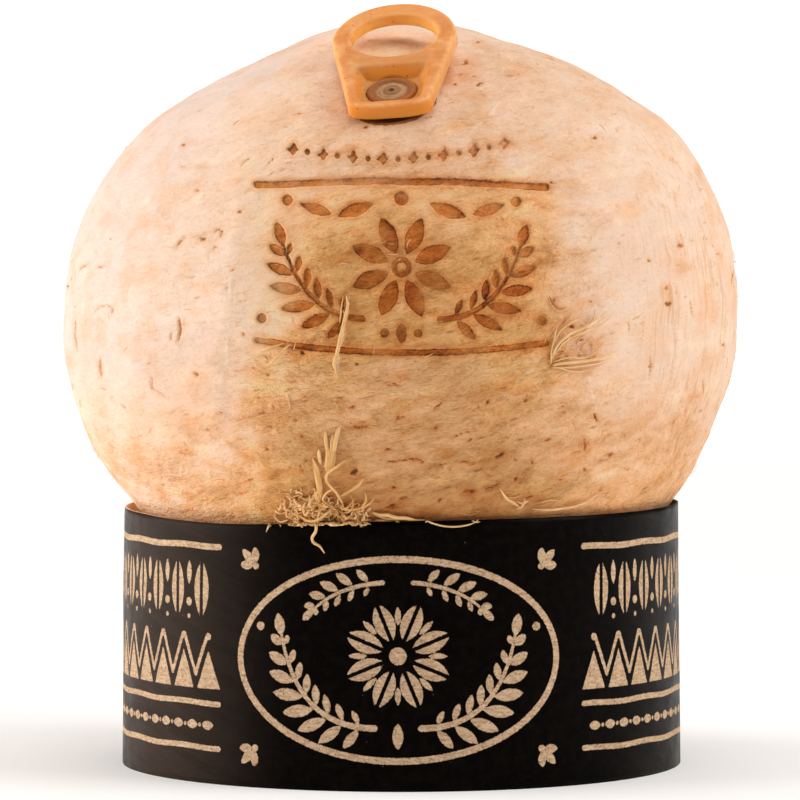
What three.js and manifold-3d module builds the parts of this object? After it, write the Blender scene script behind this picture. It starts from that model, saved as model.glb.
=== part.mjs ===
// A trimmed young coconut that opens with a ring pull. The green skin has been shaved off, so the pale
// husk shows: a round belly, a low cone on top and a taper below down to a small flat cut that it stands on.
// A round well is drilled into the front of the cone. A plastic plug sits in the well, with a round head in
// the middle, and a ring pull like a can's lies over it, hinged just in front of that head.
// A band of card stands round the taper and keeps the fruit upright.
// Millimetres, +Z up. The origin is the middle of the flat cut at the bottom. The ring pull faces -Y.

import * as THREE from 'three';
import { mergeVertices } from 'three/addons/utils/BufferGeometryUtils.js';
import Module from 'manifold-3d';

const wasm = await Module();
wasm.setup();

// ---------------------------------------------------------------- driving dimensions

// husk: height, mean radius, and how much fuller the +X side is than the mean
const HUSK_PROFILE = [
  [0, 26.2, 0], [1.2, 27.4, 0], [4, 28.9, 0], [10, 31.2, 0], [18, 33.9, 0], [26, 36.9, 0], [34, 40.3, 0],
  [40, 43.5, 0], [46, 47.75, 0.2], [52, 52.25, -0.26], [58, 55.55, -0.55], [64, 57.85, -0.42],
  [70, 59.6, -0.3], [76, 60.4, -0.22], [82, 60.38, 0.03], [88, 59.8, 0.15], [94, 58.65, 0.33],
  [100, 56.35, 0.6], [106, 53.07, 0.8], [111, 49.4, 1.2], [115, 45.4, 1.38], [118.5, 40.1, 1.35],
  [121.5, 35.25, 1.65], [124, 30.45, 1.8], [126, 26.05, 1.6], [127.8, 21.5, 0.95], [129.3, 17.3, 0.2],
  [130.6, 13.4, 0], [131.6, 9.6, 0], [132.4, 5.4, 0], [132.8, 0, 0],
];
const HUSK_LOBE = 0.7;          // a coconut is faintly three-sided
const HUSK_ROWS = [0, 1.2, 4, 10, 18, 26, 34, 40, 46, 50, 55, 60, 65, 70, 75, 80, 85, 90, 95, 100, 104, 108,
  111.5, 115, 118, 120.6, 123, 125, 127, 128.8, 130.3, 131.4, 132.2];
const HUSK_SIDES = 64;

// the opener's own frame: x across, y up the slope, z out of the husk; z = 0 is the ring pull's underside
const OPENER_AT = [-1.561, -40.3, 118.225];
const OPENER_TURN = 11.3;       // degrees, how far its slope faces left of the front
const OPENER_SLOPE = 32;        // degrees
const OPENER_TWIST = 7.4;       // degrees, turned in its own plane
const SEAT_Z = -0.35;           // the flat seat cut into the husk

const WELL_R = 8.5;
const WELL_FLOOR = -5.0;
const PLUG_R = 8.15;
const PLUG_LOW = -4.7;
const PLUG_TOP = -2.6;
const STEM_R = 3.3;
const HEAD_R = 4.3;
const HEAD_LOW = -0.1;
const HEAD_TOP = 1.7;

const RING_T = 3.0;             // rail height
const RING_LOOP_HALF = 10.9;    // half width at the loop
const RING_NOSE_HALF = 7.3;     // half width at the nose
const RING_WIDEST_Y = 15.5;
const RING_FAR = 11.6;          // from the widest place to the far end
const RING_NOSE_Y = -5.0;
const RING_NOSE = 3.0;          // the nose's reach past RING_NOSE_Y
const HOLE_Y = 15.9;
const HOLE_HALF_X = 7.5;
const HOLE_HALF_Y = 6.9;
const WEB_LOW = 0.6;
const WEB_TOP = 1.6;
const HEAD_HOLE_R = 4.65;

// sleeve
const SLEEVE_R_TOP = 49.65;     // outer radius
const SLEEVE_R_LOW = 50.1;
const SLEEVE_T = 0.45;
const SLEEVE_H = 46.15;
const SLEEVE_LAP = 14;          // millimetres of glued lap at the back
const SLEEVE_SIDES = 88;

// ---------------------------------------------------------------- helpers

const rad = Math.PI / 180;

// a smooth curve through the points that never overshoots them
function monotone(xs, ys) {
  const n = xs.length, h = [], s = [], d = new Array(n).fill(0);
  for (let i = 0; i < n - 1; i++) { h.push(xs[i + 1] - xs[i]); s.push((ys[i + 1] - ys[i]) / h[i]); }
  for (let i = 1; i < n - 1; i++) {
    if (s[i - 1] * s[i] > 0) {
      const a = 2 * h[i] + h[i - 1], b = h[i] + 2 * h[i - 1];
      d[i] = (a + b) / (a / s[i - 1] + b / s[i]);
    }
  }
  const end = (h0, h1, s0, s1) => {
    const v = ((2 * h0 + h1) * s0 - h0 * s1) / (h0 + h1);
    if (v * s0 <= 0) return 0;
    return s0 * s1 <= 0 && Math.abs(v) > 3 * Math.abs(s0) ? 3 * s0 : v;
  };
  d[0] = end(h[0], h[1], s[0], s[1]);
  d[n - 1] = end(h[n - 2], h[n - 3], s[n - 2], s[n - 3]);
  return (x) => {
    let i = 0;
    while (i < n - 2 && x > xs[i + 1]) i++;
    const t = Math.min(1, Math.max(0, (x - xs[i]) / h[i])), t2 = t * t, t3 = t2 * t;
    return ys[i] * (2 * t3 - 3 * t2 + 1) + ys[i + 1] * (3 * t2 - 2 * t3)
      + h[i] * (d[i] * (t3 - 2 * t2 + t) + d[i + 1] * (t3 - t2));
  };
}
const meanR = monotone(HUSK_PROFILE.map((p) => p[0]), HUSK_PROFILE.map((p) => p[1]));
const skew = monotone(HUSK_PROFILE.map((p) => p[0]), HUSK_PROFILE.map((p) => p[2]));
function huskRadius(z, phi) {
  const r = meanR(z);
  return r + skew(z) * Math.cos(phi) + HUSK_LOBE * (r / 60.4) ** 3 * Math.sin(3 * phi);
}

// the card's upper edge is not quite level: it dips a little at the front left
function sleeveHeight(phi) {
  let d = phi - (-128 * rad);
  d = Math.atan2(Math.sin(d), Math.cos(d)) / (24 * rad);
  return SLEEVE_H + 0.4 * Math.cos(phi) - 0.9 * Math.exp(-d * d);
}

function toSolid(geometry) {
  const g = geometry.clone();
  g.deleteAttribute('normal');
  g.deleteAttribute('uv');
  const m = mergeVertices(g, 1e-5);
  return new wasm.Manifold(new wasm.Mesh({
    numProp: 3,
    vertProperties: new Float32Array(m.attributes.position.array),
    triVerts: new Uint32Array(m.index.array),
  }));
}
function toGeometry(solid) {
  const m = solid.getMesh(), g = new THREE.BufferGeometry(), p = new Float32Array(m.numProp === 3
    ? m.vertProperties : m.vertProperties.filter((_, i) => i % m.numProp < 3));
  g.setAttribute('position', new THREE.BufferAttribute(p, 3));
  g.setIndex(new THREE.BufferAttribute(new Uint32Array(m.triVerts), 1));
  g.computeVertexNormals();
  return g;
}

// a closed body from rows of points that each go once round
function lofted(rows, low, high) {
  const n = rows[0].length, pos = [], idx = [];
  for (const r of rows) for (const p of r) pos.push(...p);
  for (let j = 0; j < rows.length - 1; j++) {
    for (let i = 0; i < n; i++) {
      const a = j * n + i, b = j * n + (i + 1) % n, c = a + n, d = b + n;
      idx.push(a, b, d, a, d, c);
    }
  }
  const l = pos.length / 3; pos.push(...low);
  const h = pos.length / 3; pos.push(...high);
  for (let i = 0; i < n; i++) {
    idx.push(l, (i + 1) % n, i);
    idx.push(h, (rows.length - 1) * n + i, (rows.length - 1) * n + (i + 1) % n);
  }
  const g = new THREE.BufferGeometry();
  g.setAttribute('position', new THREE.Float32BufferAttribute(pos, 3));
  g.setIndex(idx);
  return g;
}

// the opener's frame as a matrix
function openerMatrix() {
  const t = OPENER_TURN * rad, s = OPENER_SLOPE * rad, w = OPENER_TWIST * rad;
  const n = new THREE.Vector3(-Math.sin(t) * Math.sin(s), -Math.cos(t) * Math.sin(s), Math.cos(s));
  const g = new THREE.Vector3(0, 0, 1).addScaledVector(n, -n.z).normalize();
  const r = new THREE.Vector3().crossVectors(g, n).normalize();
  const up = g.clone().multiplyScalar(Math.cos(w)).addScaledVector(r, -Math.sin(w));
  const across = new THREE.Vector3().crossVectors(up, n);
  return new THREE.Matrix4().makeBasis(across, up, n).setPosition(...OPENER_AT);
}
const OPENER = openerMatrix();

function prism(points, low, high) {
  const g = new THREE.ExtrudeGeometry(new THREE.Shape(points.map((p) => new THREE.Vector2(p[0], p[1]))),
    { depth: high - low, bevelEnabled: false, steps: 1 });
  g.translate(0, 0, low);
  return g;
}
function ellipse(cx, cy, rx, ry, n) {
  const out = [];
  for (let i = 0; i < n; i++) {
    const t = (i / n) * 2 * Math.PI;
    out.push([cx + rx * Math.cos(t), cy + ry * Math.sin(t)]);
  }
  return out;
}
// a four-sided outline with rounded corners, given counter-clockwise
function rounded(corners, r, steps) {
  const out = [], n = corners.length;
  for (let i = 0; i < n; i++) {
    const p = new THREE.Vector2(...corners[i]);
    const a = new THREE.Vector2(...corners[(i + n - 1) % n]).sub(p).normalize();
    const b = new THREE.Vector2(...corners[(i + 1) % n]).sub(p).normalize();
    const s = p.clone().addScaledVector(a, r), e = p.clone().addScaledVector(b, r);
    for (let k = 0; k <= steps; k++) {
      const t = k / steps, u = 1 - t;
      out.push([u * u * s.x + 2 * u * t * p.x + t * t * e.x, u * u * s.y + 2 * u * t * p.y + t * t * e.y]);
    }
  }
  return out;
}

// ---------------------------------------------------------------- coconut

function coconut() {
  const rows = HUSK_ROWS.map((z) => {
    const row = [];
    for (let i = 0; i < HUSK_SIDES; i++) {
      const phi = (i / HUSK_SIDES) * 2 * Math.PI, r = huskRadius(z, phi);
      row.push([r * Math.cos(phi), r * Math.sin(phi), z]);
    }
    return row;
  });
  const husk = toSolid(lofted(rows, [0, 0, 0], [0, 0, HUSK_PROFILE[HUSK_PROFILE.length - 1][0]]));
  // the flat seat round the opener
  const above = new THREE.BoxGeometry(60, 60, 20);
  above.translate(0, 0, SEAT_Z + 10);
  above.applyMatrix4(OPENER);
  // the drilled well
  const well = prism(ellipse(0, 0, WELL_R, WELL_R, 48), WELL_FLOOR, SEAT_Z + 6);
  well.applyMatrix4(OPENER);
  return toGeometry(husk.subtract(toSolid(above)).subtract(toSolid(well)));
}

// ---------------------------------------------------------------- opener plug

function openerPlug() {
  const profile = [
    [0, PLUG_LOW], [PLUG_R - 0.5, PLUG_LOW], [PLUG_R, PLUG_LOW + 0.5], [PLUG_R, PLUG_TOP - 0.4],
    [PLUG_R - 0.4, PLUG_TOP], [STEM_R + 0.6, PLUG_TOP], [STEM_R, PLUG_TOP + 0.6], [STEM_R, HEAD_LOW - 0.3],
    [HEAD_R - 0.4, HEAD_LOW], [HEAD_R, HEAD_LOW + 0.4], [HEAD_R, HEAD_TOP - 0.45], [HEAD_R - 0.35, HEAD_TOP],
    [3.2, HEAD_TOP], [2.8, HEAD_TOP - 0.4], [1.3, HEAD_TOP - 0.4], [0.9, HEAD_TOP - 0.1], [0, HEAD_TOP - 0.1],
  ].map((p) => new THREE.Vector2(p[0], p[1]));
  const g = new THREE.LatheGeometry(profile, 40);
  g.rotateX(Math.PI / 2);
  return toGeometry(toSolid(g));
}

// ---------------------------------------------------------------- ring pull

function ringOutline() {
  const out = [], far = 26, nose = 20;
  for (let i = 0; i <= far; i++) {
    const t = (i / far) * Math.PI;
    out.push([RING_LOOP_HALF * Math.cos(t), RING_WIDEST_Y + RING_FAR * Math.sin(t)]);
  }
  for (let i = 0; i <= nose; i++) {
    const t = Math.PI + (i / nose) * Math.PI, c = Math.cos(t), s = Math.sin(t), e = 2 / 2.6;
    out.push([RING_NOSE_HALF * Math.sign(c) * Math.abs(c) ** e, RING_NOSE_Y - RING_NOSE * Math.abs(s) ** e]);
  }
  return out;
}

function pullRing() {
  // outer body, its upper and lower edges rounded
  const bevel = 0.5;
  const shape = new THREE.Shape(ringOutline().map((p) => new THREE.Vector2(p[0], p[1])));
  const body = new THREE.ExtrudeGeometry(shape, {
    depth: RING_T - 2 * bevel, bevelEnabled: true, bevelThickness: bevel, bevelSize: bevel,
    bevelOffset: -bevel, bevelSegments: 2, steps: 1,
  });
  body.translate(0, 0, bevel);
  const finger = prism(ellipse(0, HOLE_Y, HOLE_HALF_X, HOLE_HALF_Y, 36), -2, 6);
  // the web between the rails is sunk on both faces
  const upper = prism(rounded([[-5.15, -6.0], [5.15, -6.0], [6.6, 5.8], [-6.6, 5.8]], 1.6, 4), WEB_TOP, 6);
  const lower = prism(rounded([[-4.9, -6.6], [4.9, -6.6], [6.6, 6.2], [-6.6, 6.2]], 1.4, 3), -2, WEB_LOW);
  const head = prism(ellipse(0, 0, HEAD_HOLE_R, HEAD_HOLE_R, 40), -2, 6);
  // the loop thins towards its far end, so that a fingertip gets under it
  const wedge = new THREE.BufferGeometry();
  wedge.setAttribute('position', new THREE.Float32BufferAttribute([
    -14, 9, -1, 14, 9, -1, 14, 30, -1, -14, 30, -1, -14, 9, 0.001, 14, 9, 0.001, 14, 30, 1.2, -14, 30, 1.2,
  ], 3));
  wedge.setIndex([0, 2, 1, 0, 3, 2, 4, 5, 6, 4, 6, 7, 0, 1, 5, 0, 5, 4, 1, 2, 6, 1, 6, 5, 2, 3, 7, 2, 7, 6, 3, 0, 4, 3, 4, 7]);
  return toGeometry(toSolid(body).subtract(toSolid(finger)).subtract(toSolid(upper))
    .subtract(toSolid(lower)).subtract(toSolid(head)).subtract(toSolid(wedge)));
}

// ---------------------------------------------------------------- sleeve

// one strip of card bent into a band, its ends lapped and glued at the back
function sleeve() {
  const lap = SLEEVE_LAP / SLEEVE_R_LOW, seam = 90 * rad, step = 0.5 * rad;
  const angles = [];
  for (let i = 0; i < SLEEVE_SIDES; i++) angles.push(seam + lap / 2 + step + (i / SLEEVE_SIDES) * (2 * Math.PI - lap - 2 * step));
  angles.push(seam - lap / 2 - step);
  for (let i = 0; i <= 4; i++) angles.push(seam - lap / 2 + (i / 4) * lap);
  const rows = angles.map((a, i) => {
    const lapped = i > SLEEVE_SIDES, phi = Math.atan2(Math.sin(a), Math.cos(a)), h = sleeveHeight(phi);
    const up = SLEEVE_R_TOP + (lapped ? SLEEVE_T : 0), down = SLEEVE_R_LOW + (lapped ? SLEEVE_T : 0);
    return [[down, 0], [up, h], [SLEEVE_R_TOP - SLEEVE_T, h], [SLEEVE_R_LOW - SLEEVE_T, 0]]
      .map(([r, z]) => [r * Math.cos(a), r * Math.sin(a), z]);
  });
  const pos = rows.flat(2), idx = [], n = rows.length;
  for (let i = 0; i < n; i++) {
    const j = (i + 1) % n;
    for (let k = 0; k < 4; k++) {
      const l = (k + 1) % 4, a = i * 4 + k, b = j * 4 + k, c = j * 4 + l, d = i * 4 + l;
      idx.push(a, b, c, a, c, d);
    }
  }
  const g = new THREE.BufferGeometry();
  g.setAttribute('position', new THREE.Float32BufferAttribute(pos, 3));
  g.setIndex(idx);
  return toGeometry(toSolid(g));
}

// ---------------------------------------------------------------- assembly

function part(name, geometry, color, roughness) {
  const mesh = new THREE.Mesh(geometry, new THREE.MeshStandardMaterial({ color, roughness, metalness: 0 }));
  mesh.name = name;
  return mesh;
}

const group = new THREE.Group();
group.add(part('coconut', coconut(), 0xe8c39b, 0.85));
group.add(part('sleeve', sleeve(), 0x14110f, 0.5));

const opener = new THREE.Group();
opener.applyMatrix4(OPENER);
opener.add(part('opener_plug', openerPlug(), 0x9a6f45, 0.5));
opener.add(part('pull_ring', pullRing(), 0xe39a55, 0.4));
group.add(opener);

export default group;
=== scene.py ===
import math

import bpy
import numpy as np
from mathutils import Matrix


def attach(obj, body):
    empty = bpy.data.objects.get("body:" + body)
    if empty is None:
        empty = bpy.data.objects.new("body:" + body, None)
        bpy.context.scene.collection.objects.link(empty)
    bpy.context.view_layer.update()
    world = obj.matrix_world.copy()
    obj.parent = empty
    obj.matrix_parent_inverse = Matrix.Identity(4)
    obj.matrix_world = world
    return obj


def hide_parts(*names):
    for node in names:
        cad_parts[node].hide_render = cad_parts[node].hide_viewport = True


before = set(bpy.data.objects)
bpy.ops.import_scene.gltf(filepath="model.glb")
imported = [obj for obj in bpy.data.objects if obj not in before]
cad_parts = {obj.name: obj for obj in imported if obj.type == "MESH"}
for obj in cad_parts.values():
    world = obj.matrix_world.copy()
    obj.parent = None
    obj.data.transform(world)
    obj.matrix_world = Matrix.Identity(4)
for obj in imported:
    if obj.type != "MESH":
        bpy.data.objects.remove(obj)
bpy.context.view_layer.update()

MM = 0.001
rad = math.radians

# ------------------------------------------------------------------ camera and picture plane
CAM = np.array([-0.233, -900.0, 100.0])
PITCH = rad(2.246)
LENS = 226.0
FPX = LENS / 36 * 800
FWD = np.array([0, math.cos(PITCH), -math.sin(PITCH)])
UP = np.array([0, math.sin(PITCH), math.cos(PITCH)])
RIGHT = np.array([1.0, 0, 0])


def to_px(P):
    """Where points of the model fall in the 800 x 800 picture."""
    v = P - CAM
    d = v @ FWD
    return 400 + FPX * (v @ RIGHT) / d, 400 - FPX * (v @ UP) / d


# ------------------------------------------------------------------ small numeric helpers
def smooth(a, b, x):
    t = np.clip((x - a) / (b - a), 0, 1)
    return t * t * (3 - 2 * t)


def smin(a, b, k):
    h = np.clip(0.5 + 0.5 * (b - a) / k, 0, 1)
    return b * (1 - h) + a * h - k * h * (1 - h)


def smax(a, b, k):
    return -smin(-a, -b, k)


def vnoise(p, seed=0):
    """Smooth value noise of points, from -1 to 1."""
    p = np.asarray(p, float)
    i = np.floor(p).astype(np.int64)
    f = p - i
    f = f * f * f * (f * (f * 6 - 15) + 10)
    out = 0.0
    for c in range(8):
        o = np.array([c & 1, (c >> 1) & 1, (c >> 2) & 1])
        q = i + o
        h = (q[:, 0] * 374761393 + q[:, 1] * 668265263 + q[:, 2] * 2147483629 + seed * 1274126177) & 0xFFFFFFFF
        h = ((h ^ (h >> 13)) * 1274126177) & 0xFFFFFFFF
        h = ((h ^ (h >> 15)) * 2246822519) & 0xFFFFFFFF
        h = h ^ (h >> 16)
        w = np.prod(np.where(o, f, 1 - f), axis=1)
        out = out + w * (h / 2147483647.5 - 1)
    return out


def fbm(p, octaves=3, seed=0, gain=0.5):
    out, a, t = 0.0, 1.0, 0.0
    p = np.asarray(p, float)
    for k in range(octaves):
        out = out + a * vnoise(p * 2.03 ** k + 17.3 * k, seed + k)
        t += a
        a *= gain
    return out / t


def monotone(xs, ys):
    """A smooth curve through the points that never overshoots them."""
    xs, ys = np.asarray(xs, float), np.asarray(ys, float)
    n = len(xs)
    h = np.diff(xs)
    s = np.diff(ys) / h
    d = np.zeros(n)
    for i in range(1, n - 1):
        if s[i - 1] * s[i] > 0:
            a, b = 2 * h[i] + h[i - 1], h[i] + 2 * h[i - 1]
            d[i] = (a + b) / (a / s[i - 1] + b / s[i])

    def end(h0, h1, s0, s1):
        v = ((2 * h0 + h1) * s0 - h0 * s1) / (h0 + h1)
        if v * s0 <= 0:
            return 0.0
        return 3 * s0 if s0 * s1 <= 0 and abs(v) > 3 * abs(s0) else v

    d[0] = end(h[0], h[1], s[0], s[1])
    d[-1] = end(h[-1], h[-2], s[-1], s[-2])

    def f(x):
        x = np.asarray(x, float)
        i = np.clip(np.searchsorted(xs, x, side="left") - 1, 0, n - 2)
        t = np.clip((x - xs[i]) / h[i], 0, 1)
        t2, t3 = t * t, t * t * t
        return (ys[i] * (2 * t3 - 3 * t2 + 1) + ys[i + 1] * (3 * t2 - 2 * t3)
                + h[i] * (d[i] * (t3 - 2 * t2 + t) + d[i + 1] * (t3 - t2)))

    return f


def refine(V, F, sel):
    """Splits the chosen triangles into four and closes their neighbours, with no cracks."""
    n = len(V)
    e = np.stack([F[:, [0, 1]], F[:, [1, 2]], F[:, [2, 0]]], axis=1)
    e = np.sort(e, axis=2)
    key = e[..., 0].astype(np.int64) * n + e[..., 1]
    uniq, inv = np.unique(key, return_inverse=True)
    inv = inv.reshape(key.shape)
    split = np.zeros(len(uniq), bool)
    split[inv[sel].ravel()] = True
    s = split[inv]
    idx = np.cumsum(split) - 1 + n
    a, b = uniq[split] // n, uniq[split] % n
    V = np.vstack([V, (V[a] + V[b]) / 2])
    mid = idx[inv]
    k = s.sum(1)
    out = [F[k == 0]]
    f, m = F[k == 3], mid[k == 3]
    out += [np.c_[f[:, 0], m[:, 0], m[:, 2]], np.c_[m[:, 0], f[:, 1], m[:, 1]],
            np.c_[m[:, 2], m[:, 1], f[:, 2]], np.c_[m[:, 0], m[:, 1], m[:, 2]]]
    for r in range(3):
        q = (k == 1) & s[:, r]
        A, B, C, M = F[q, r], F[q, (r + 1) % 3], F[q, (r + 2) % 3], mid[q, r]
        out += [np.c_[A, M, C], np.c_[M, B, C]]
        q = (k == 2) & ~s[:, (r + 2) % 3]
        A, B, C = F[q, r], F[q, (r + 1) % 3], F[q, (r + 2) % 3]
        M0, M1 = mid[q, r], mid[q, (r + 1) % 3]
        out += [np.c_[M0, B, M1], np.c_[A, M0, M1], np.c_[A, M1, C]]
    return V, np.vstack(out)


def zipper(A, ta, B, tb, flip=False):
    """Triangles between two closed rows of vertex numbers, given each vertex's place round from 0 to 1."""
    out, i, j, na, nb = [], 0, 0, len(A), len(B)
    ta2, tb2 = list(ta) + [ta[0] + 1], list(tb) + [tb[0] + 1]
    while i < na or j < nb:
        if j >= nb or (i < na and ta2[i + 1] <= tb2[j + 1]):
            out.append((A[i % na], A[(i + 1) % na], B[j % nb]))
            i += 1
        else:
            out.append((A[i % na], B[(j + 1) % nb], B[j % nb]))
            j += 1
    out = np.array(out)
    return out[:, ::-1] if flip else out


def mesh_object(name, V, F, mats, body, attrs=None, face_mat=None, flat=False):
    """A smooth-shaded object from millimetre points and faces (an array, or several arrays of different widths)."""
    V = np.asarray(V, float)
    parts = F if isinstance(F, (list, tuple)) else [F]
    parts = [np.asarray(p, np.int32) for p in parts if len(p)]
    loops = np.concatenate([p.ravel() for p in parts])
    sizes = np.concatenate([np.full(len(p), p.shape[1], np.int32) for p in parts])
    me = bpy.data.meshes.new(name)
    me.vertices.add(len(V))
    me.vertices.foreach_set("co", (V * MM).astype(np.float32).ravel())
    me.loops.add(len(loops))
    me.loops.foreach_set("vertex_index", loops)
    me.polygons.add(len(sizes))
    me.polygons.foreach_set("loop_start", np.concatenate([[0], np.cumsum(sizes)[:-1]]).astype(np.int32))
    me.polygons.foreach_set("loop_total", sizes)
    for m in mats:
        me.materials.append(m)
    if face_mat is not None:
        me.polygons.foreach_set("material_index", np.asarray(face_mat, np.int32))
    me.update(calc_edges=True)
    me.validate()
    if not flat:
        me.polygons.foreach_set("use_smooth", np.ones(len(me.polygons), bool))
    for k, v in (attrs or {}).items():
        v = np.asarray(v, np.float32)
        if v.ndim == 2:
            at = me.attributes.new(k, "FLOAT_COLOR", "POINT")
            at.data.foreach_set("color", np.c_[v, np.ones(len(v), np.float32)].ravel())
        else:
            at = me.attributes.new(k, "FLOAT", "POINT")
            at.data.foreach_set("value", v)
    ob = bpy.data.objects.new(name, me)
    bpy.context.scene.collection.objects.link(ob)
    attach(ob, body)
    return ob


# ------------------------------------------------------------------ the husk's own shape
PROFILE = np.array([
    [0, 26.2, 0], [1.2, 27.4, 0], [4, 28.9, 0], [10, 31.2, 0], [18, 33.9, 0], [26, 36.9, 0], [34, 40.3, 0],
    [40, 43.5, 0], [46, 47.75, 0.2], [52, 52.25, -0.26], [58, 55.55, -0.55], [64, 57.85, -0.42],
    [70, 59.6, -0.3], [76, 60.4, -0.22], [82, 60.38, 0.03], [88, 59.8, 0.15], [94, 58.65, 0.33],
    [100, 56.35, 0.6], [106, 53.07, 0.8], [111, 49.4, 1.2], [115, 45.4, 1.38], [118.5, 40.1, 1.35],
    [121.5, 35.25, 1.65], [124, 30.45, 1.8], [126, 26.05, 1.6], [127.8, 21.5, 0.95], [129.3, 17.3, 0.2],
    [130.6, 13.4, 0], [131.6, 9.6, 0], [132.4, 5.4, 0], [132.8, 0, 0]])
mean_r = monotone(PROFILE[:, 0], PROFILE[:, 1])
skew = monotone(PROFILE[:, 0], PROFILE[:, 2])


def husk_r(z, phi):
    r = mean_r(z)
    return r + skew(z) * np.cos(phi) + 0.7 * (r / 60.4) ** 3 * np.sin(3 * phi)


# the opener's frame
OP0 = np.array([-1.561, -40.3, 118.225])
E1 = np.array([0.9938494686, -0.0872066414, 0.0682512678])
E2 = np.array([0.0384888871, 0.8499190635, 0.5255056527])
EN = np.array([-0.1038356366, -0.5196465984, 0.8480480962])
SEAT, WELL_R, WELL_FLOOR, WELL_S = -0.35, 7.5, -5.0, -0.62


def opener_local(P):
    q = P - OP0
    return q @ E1, q @ E2, q @ EN


def from_opener(a, s, u):
    return OP0 + np.outer(a, E1) + np.outer(s, E2) + np.outer(u, EN)


# ------------------------------------------------------------------ drawn shapes (signed distance, mm)
class Ink:
    """The least signed distance to a set of simple shapes, worked out only near each shape."""

    def __init__(self, x, y, far=3.0):
        self.x, self.y, self.far = x, y, far
        self.d = np.full(len(x), far)

    def _near(self, x0, x1, y0, y1, m=1.2):
        return np.nonzero((self.x > x0 - m) & (self.x < x1 + m) & (self.y > y0 - m) & (self.y < y1 + m))[0]

    def _put(self, i, d):
        self.d[i] = np.minimum(self.d[i], d)

    def line(self, pts, w, w2=None):
        """A stroke along points, from width w to width w2."""
        pts = np.asarray(pts, float)
        w2 = w if w2 is None else w2
        n = len(pts) - 1
        for k in range(n):
            a, b = pts[k], pts[k + 1]
            wa, wb = w + (w2 - w) * k / n, w + (w2 - w) * (k + 1) / n
            m = max(wa, wb)
            i = self._near(min(a[0], b[0]) - m, max(a[0], b[0]) + m, min(a[1], b[1]) - m, max(a[1], b[1]) + m)
            if not len(i):
                continue
            px, py = self.x[i] - a[0], self.y[i] - a[1]
            dx, dy = b[0] - a[0], b[1] - a[1]
            t = np.clip((px * dx + py * dy) / max(dx * dx + dy * dy, 1e-9), 0, 1)
            self._put(i, np.hypot(px - t * dx, py - t * dy) - (wa + (wb - wa) * t) / 2)

    def ellipse(self, cx, cy, rx, ry, w):
        t = np.linspace(0, 2 * np.pi, 97)
        self.line(np.c_[cx + rx * np.cos(t), cy + ry * np.sin(t)], w)

    def disc(self, cx, cy, r):
        i = self._near(cx - r, cx + r, cy - r, cy + r)
        self._put(i, np.hypot(self.x[i] - cx, self.y[i] - cy) - r)

    def ring(self, cx, cy, r, w):
        i = self._near(cx - r - w, cx + r + w, cy - r - w, cy + r + w)
        self._put(i, np.abs(np.hypot(self.x[i] - cx, self.y[i] - cy) - r) - w / 2)

    def leaf(self, x0, y0, x1, y1, w, vein=0.0, belly=0.5):
        """A pointed leaf from one point to another; vein leaves a bare line down its middle."""
        L = math.hypot(x1 - x0, y1 - y0)
        cx, cy = (x0 + x1) / 2, (y0 + y1) / 2
        ux, uy = (x1 - x0) / L, (y1 - y0) / L
        m = L / 2
        i = self._near(cx - m, cx + m, cy - m, cy + m)
        if not len(i):
            return
        px, py = self.x[i] - cx, self.y[i] - cy
        a, b = px * ux + py * uy, np.abs(-px * uy + py * ux)
        h, half = w / 2, L / 2
        R = (half * half + h * h) / (2 * h)
        d = np.hypot(a, b + (R - h)) - R
        d = np.where((np.abs(a) > half), np.hypot(np.abs(a) - half, b), d)
        if vein:
            d = np.maximum(d, vein / 2 - b)
        self._put(i, d)

    def poly(self, pts):
        """A convex polygon, counter-clockwise."""
        pts = np.asarray(pts, float)
        i = self._near(pts[:, 0].min(), pts[:, 0].max(), pts[:, 1].min(), pts[:, 1].max())
        if not len(i):
            return
        x, y = self.x[i], self.y[i]
        inside = np.full(len(i), -1e9)
        edge = np.full(len(i), 1e9)
        for k in range(len(pts)):
            a, b = pts[k], pts[(k + 1) % len(pts)]
            dx, dy = b - a
            L = math.hypot(dx, dy)
            inside = np.maximum(inside, ((x - a[0]) * dy - (y - a[1]) * dx) / L)
            t = np.clip(((x - a[0]) * dx + (y - a[1]) * dy) / (L * L), 0, 1)
            edge = np.minimum(edge, np.hypot(x - a[0] - t * dx, y - a[1] - t * dy))
        self._put(i, np.where(inside < 0, -edge, edge))


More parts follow.
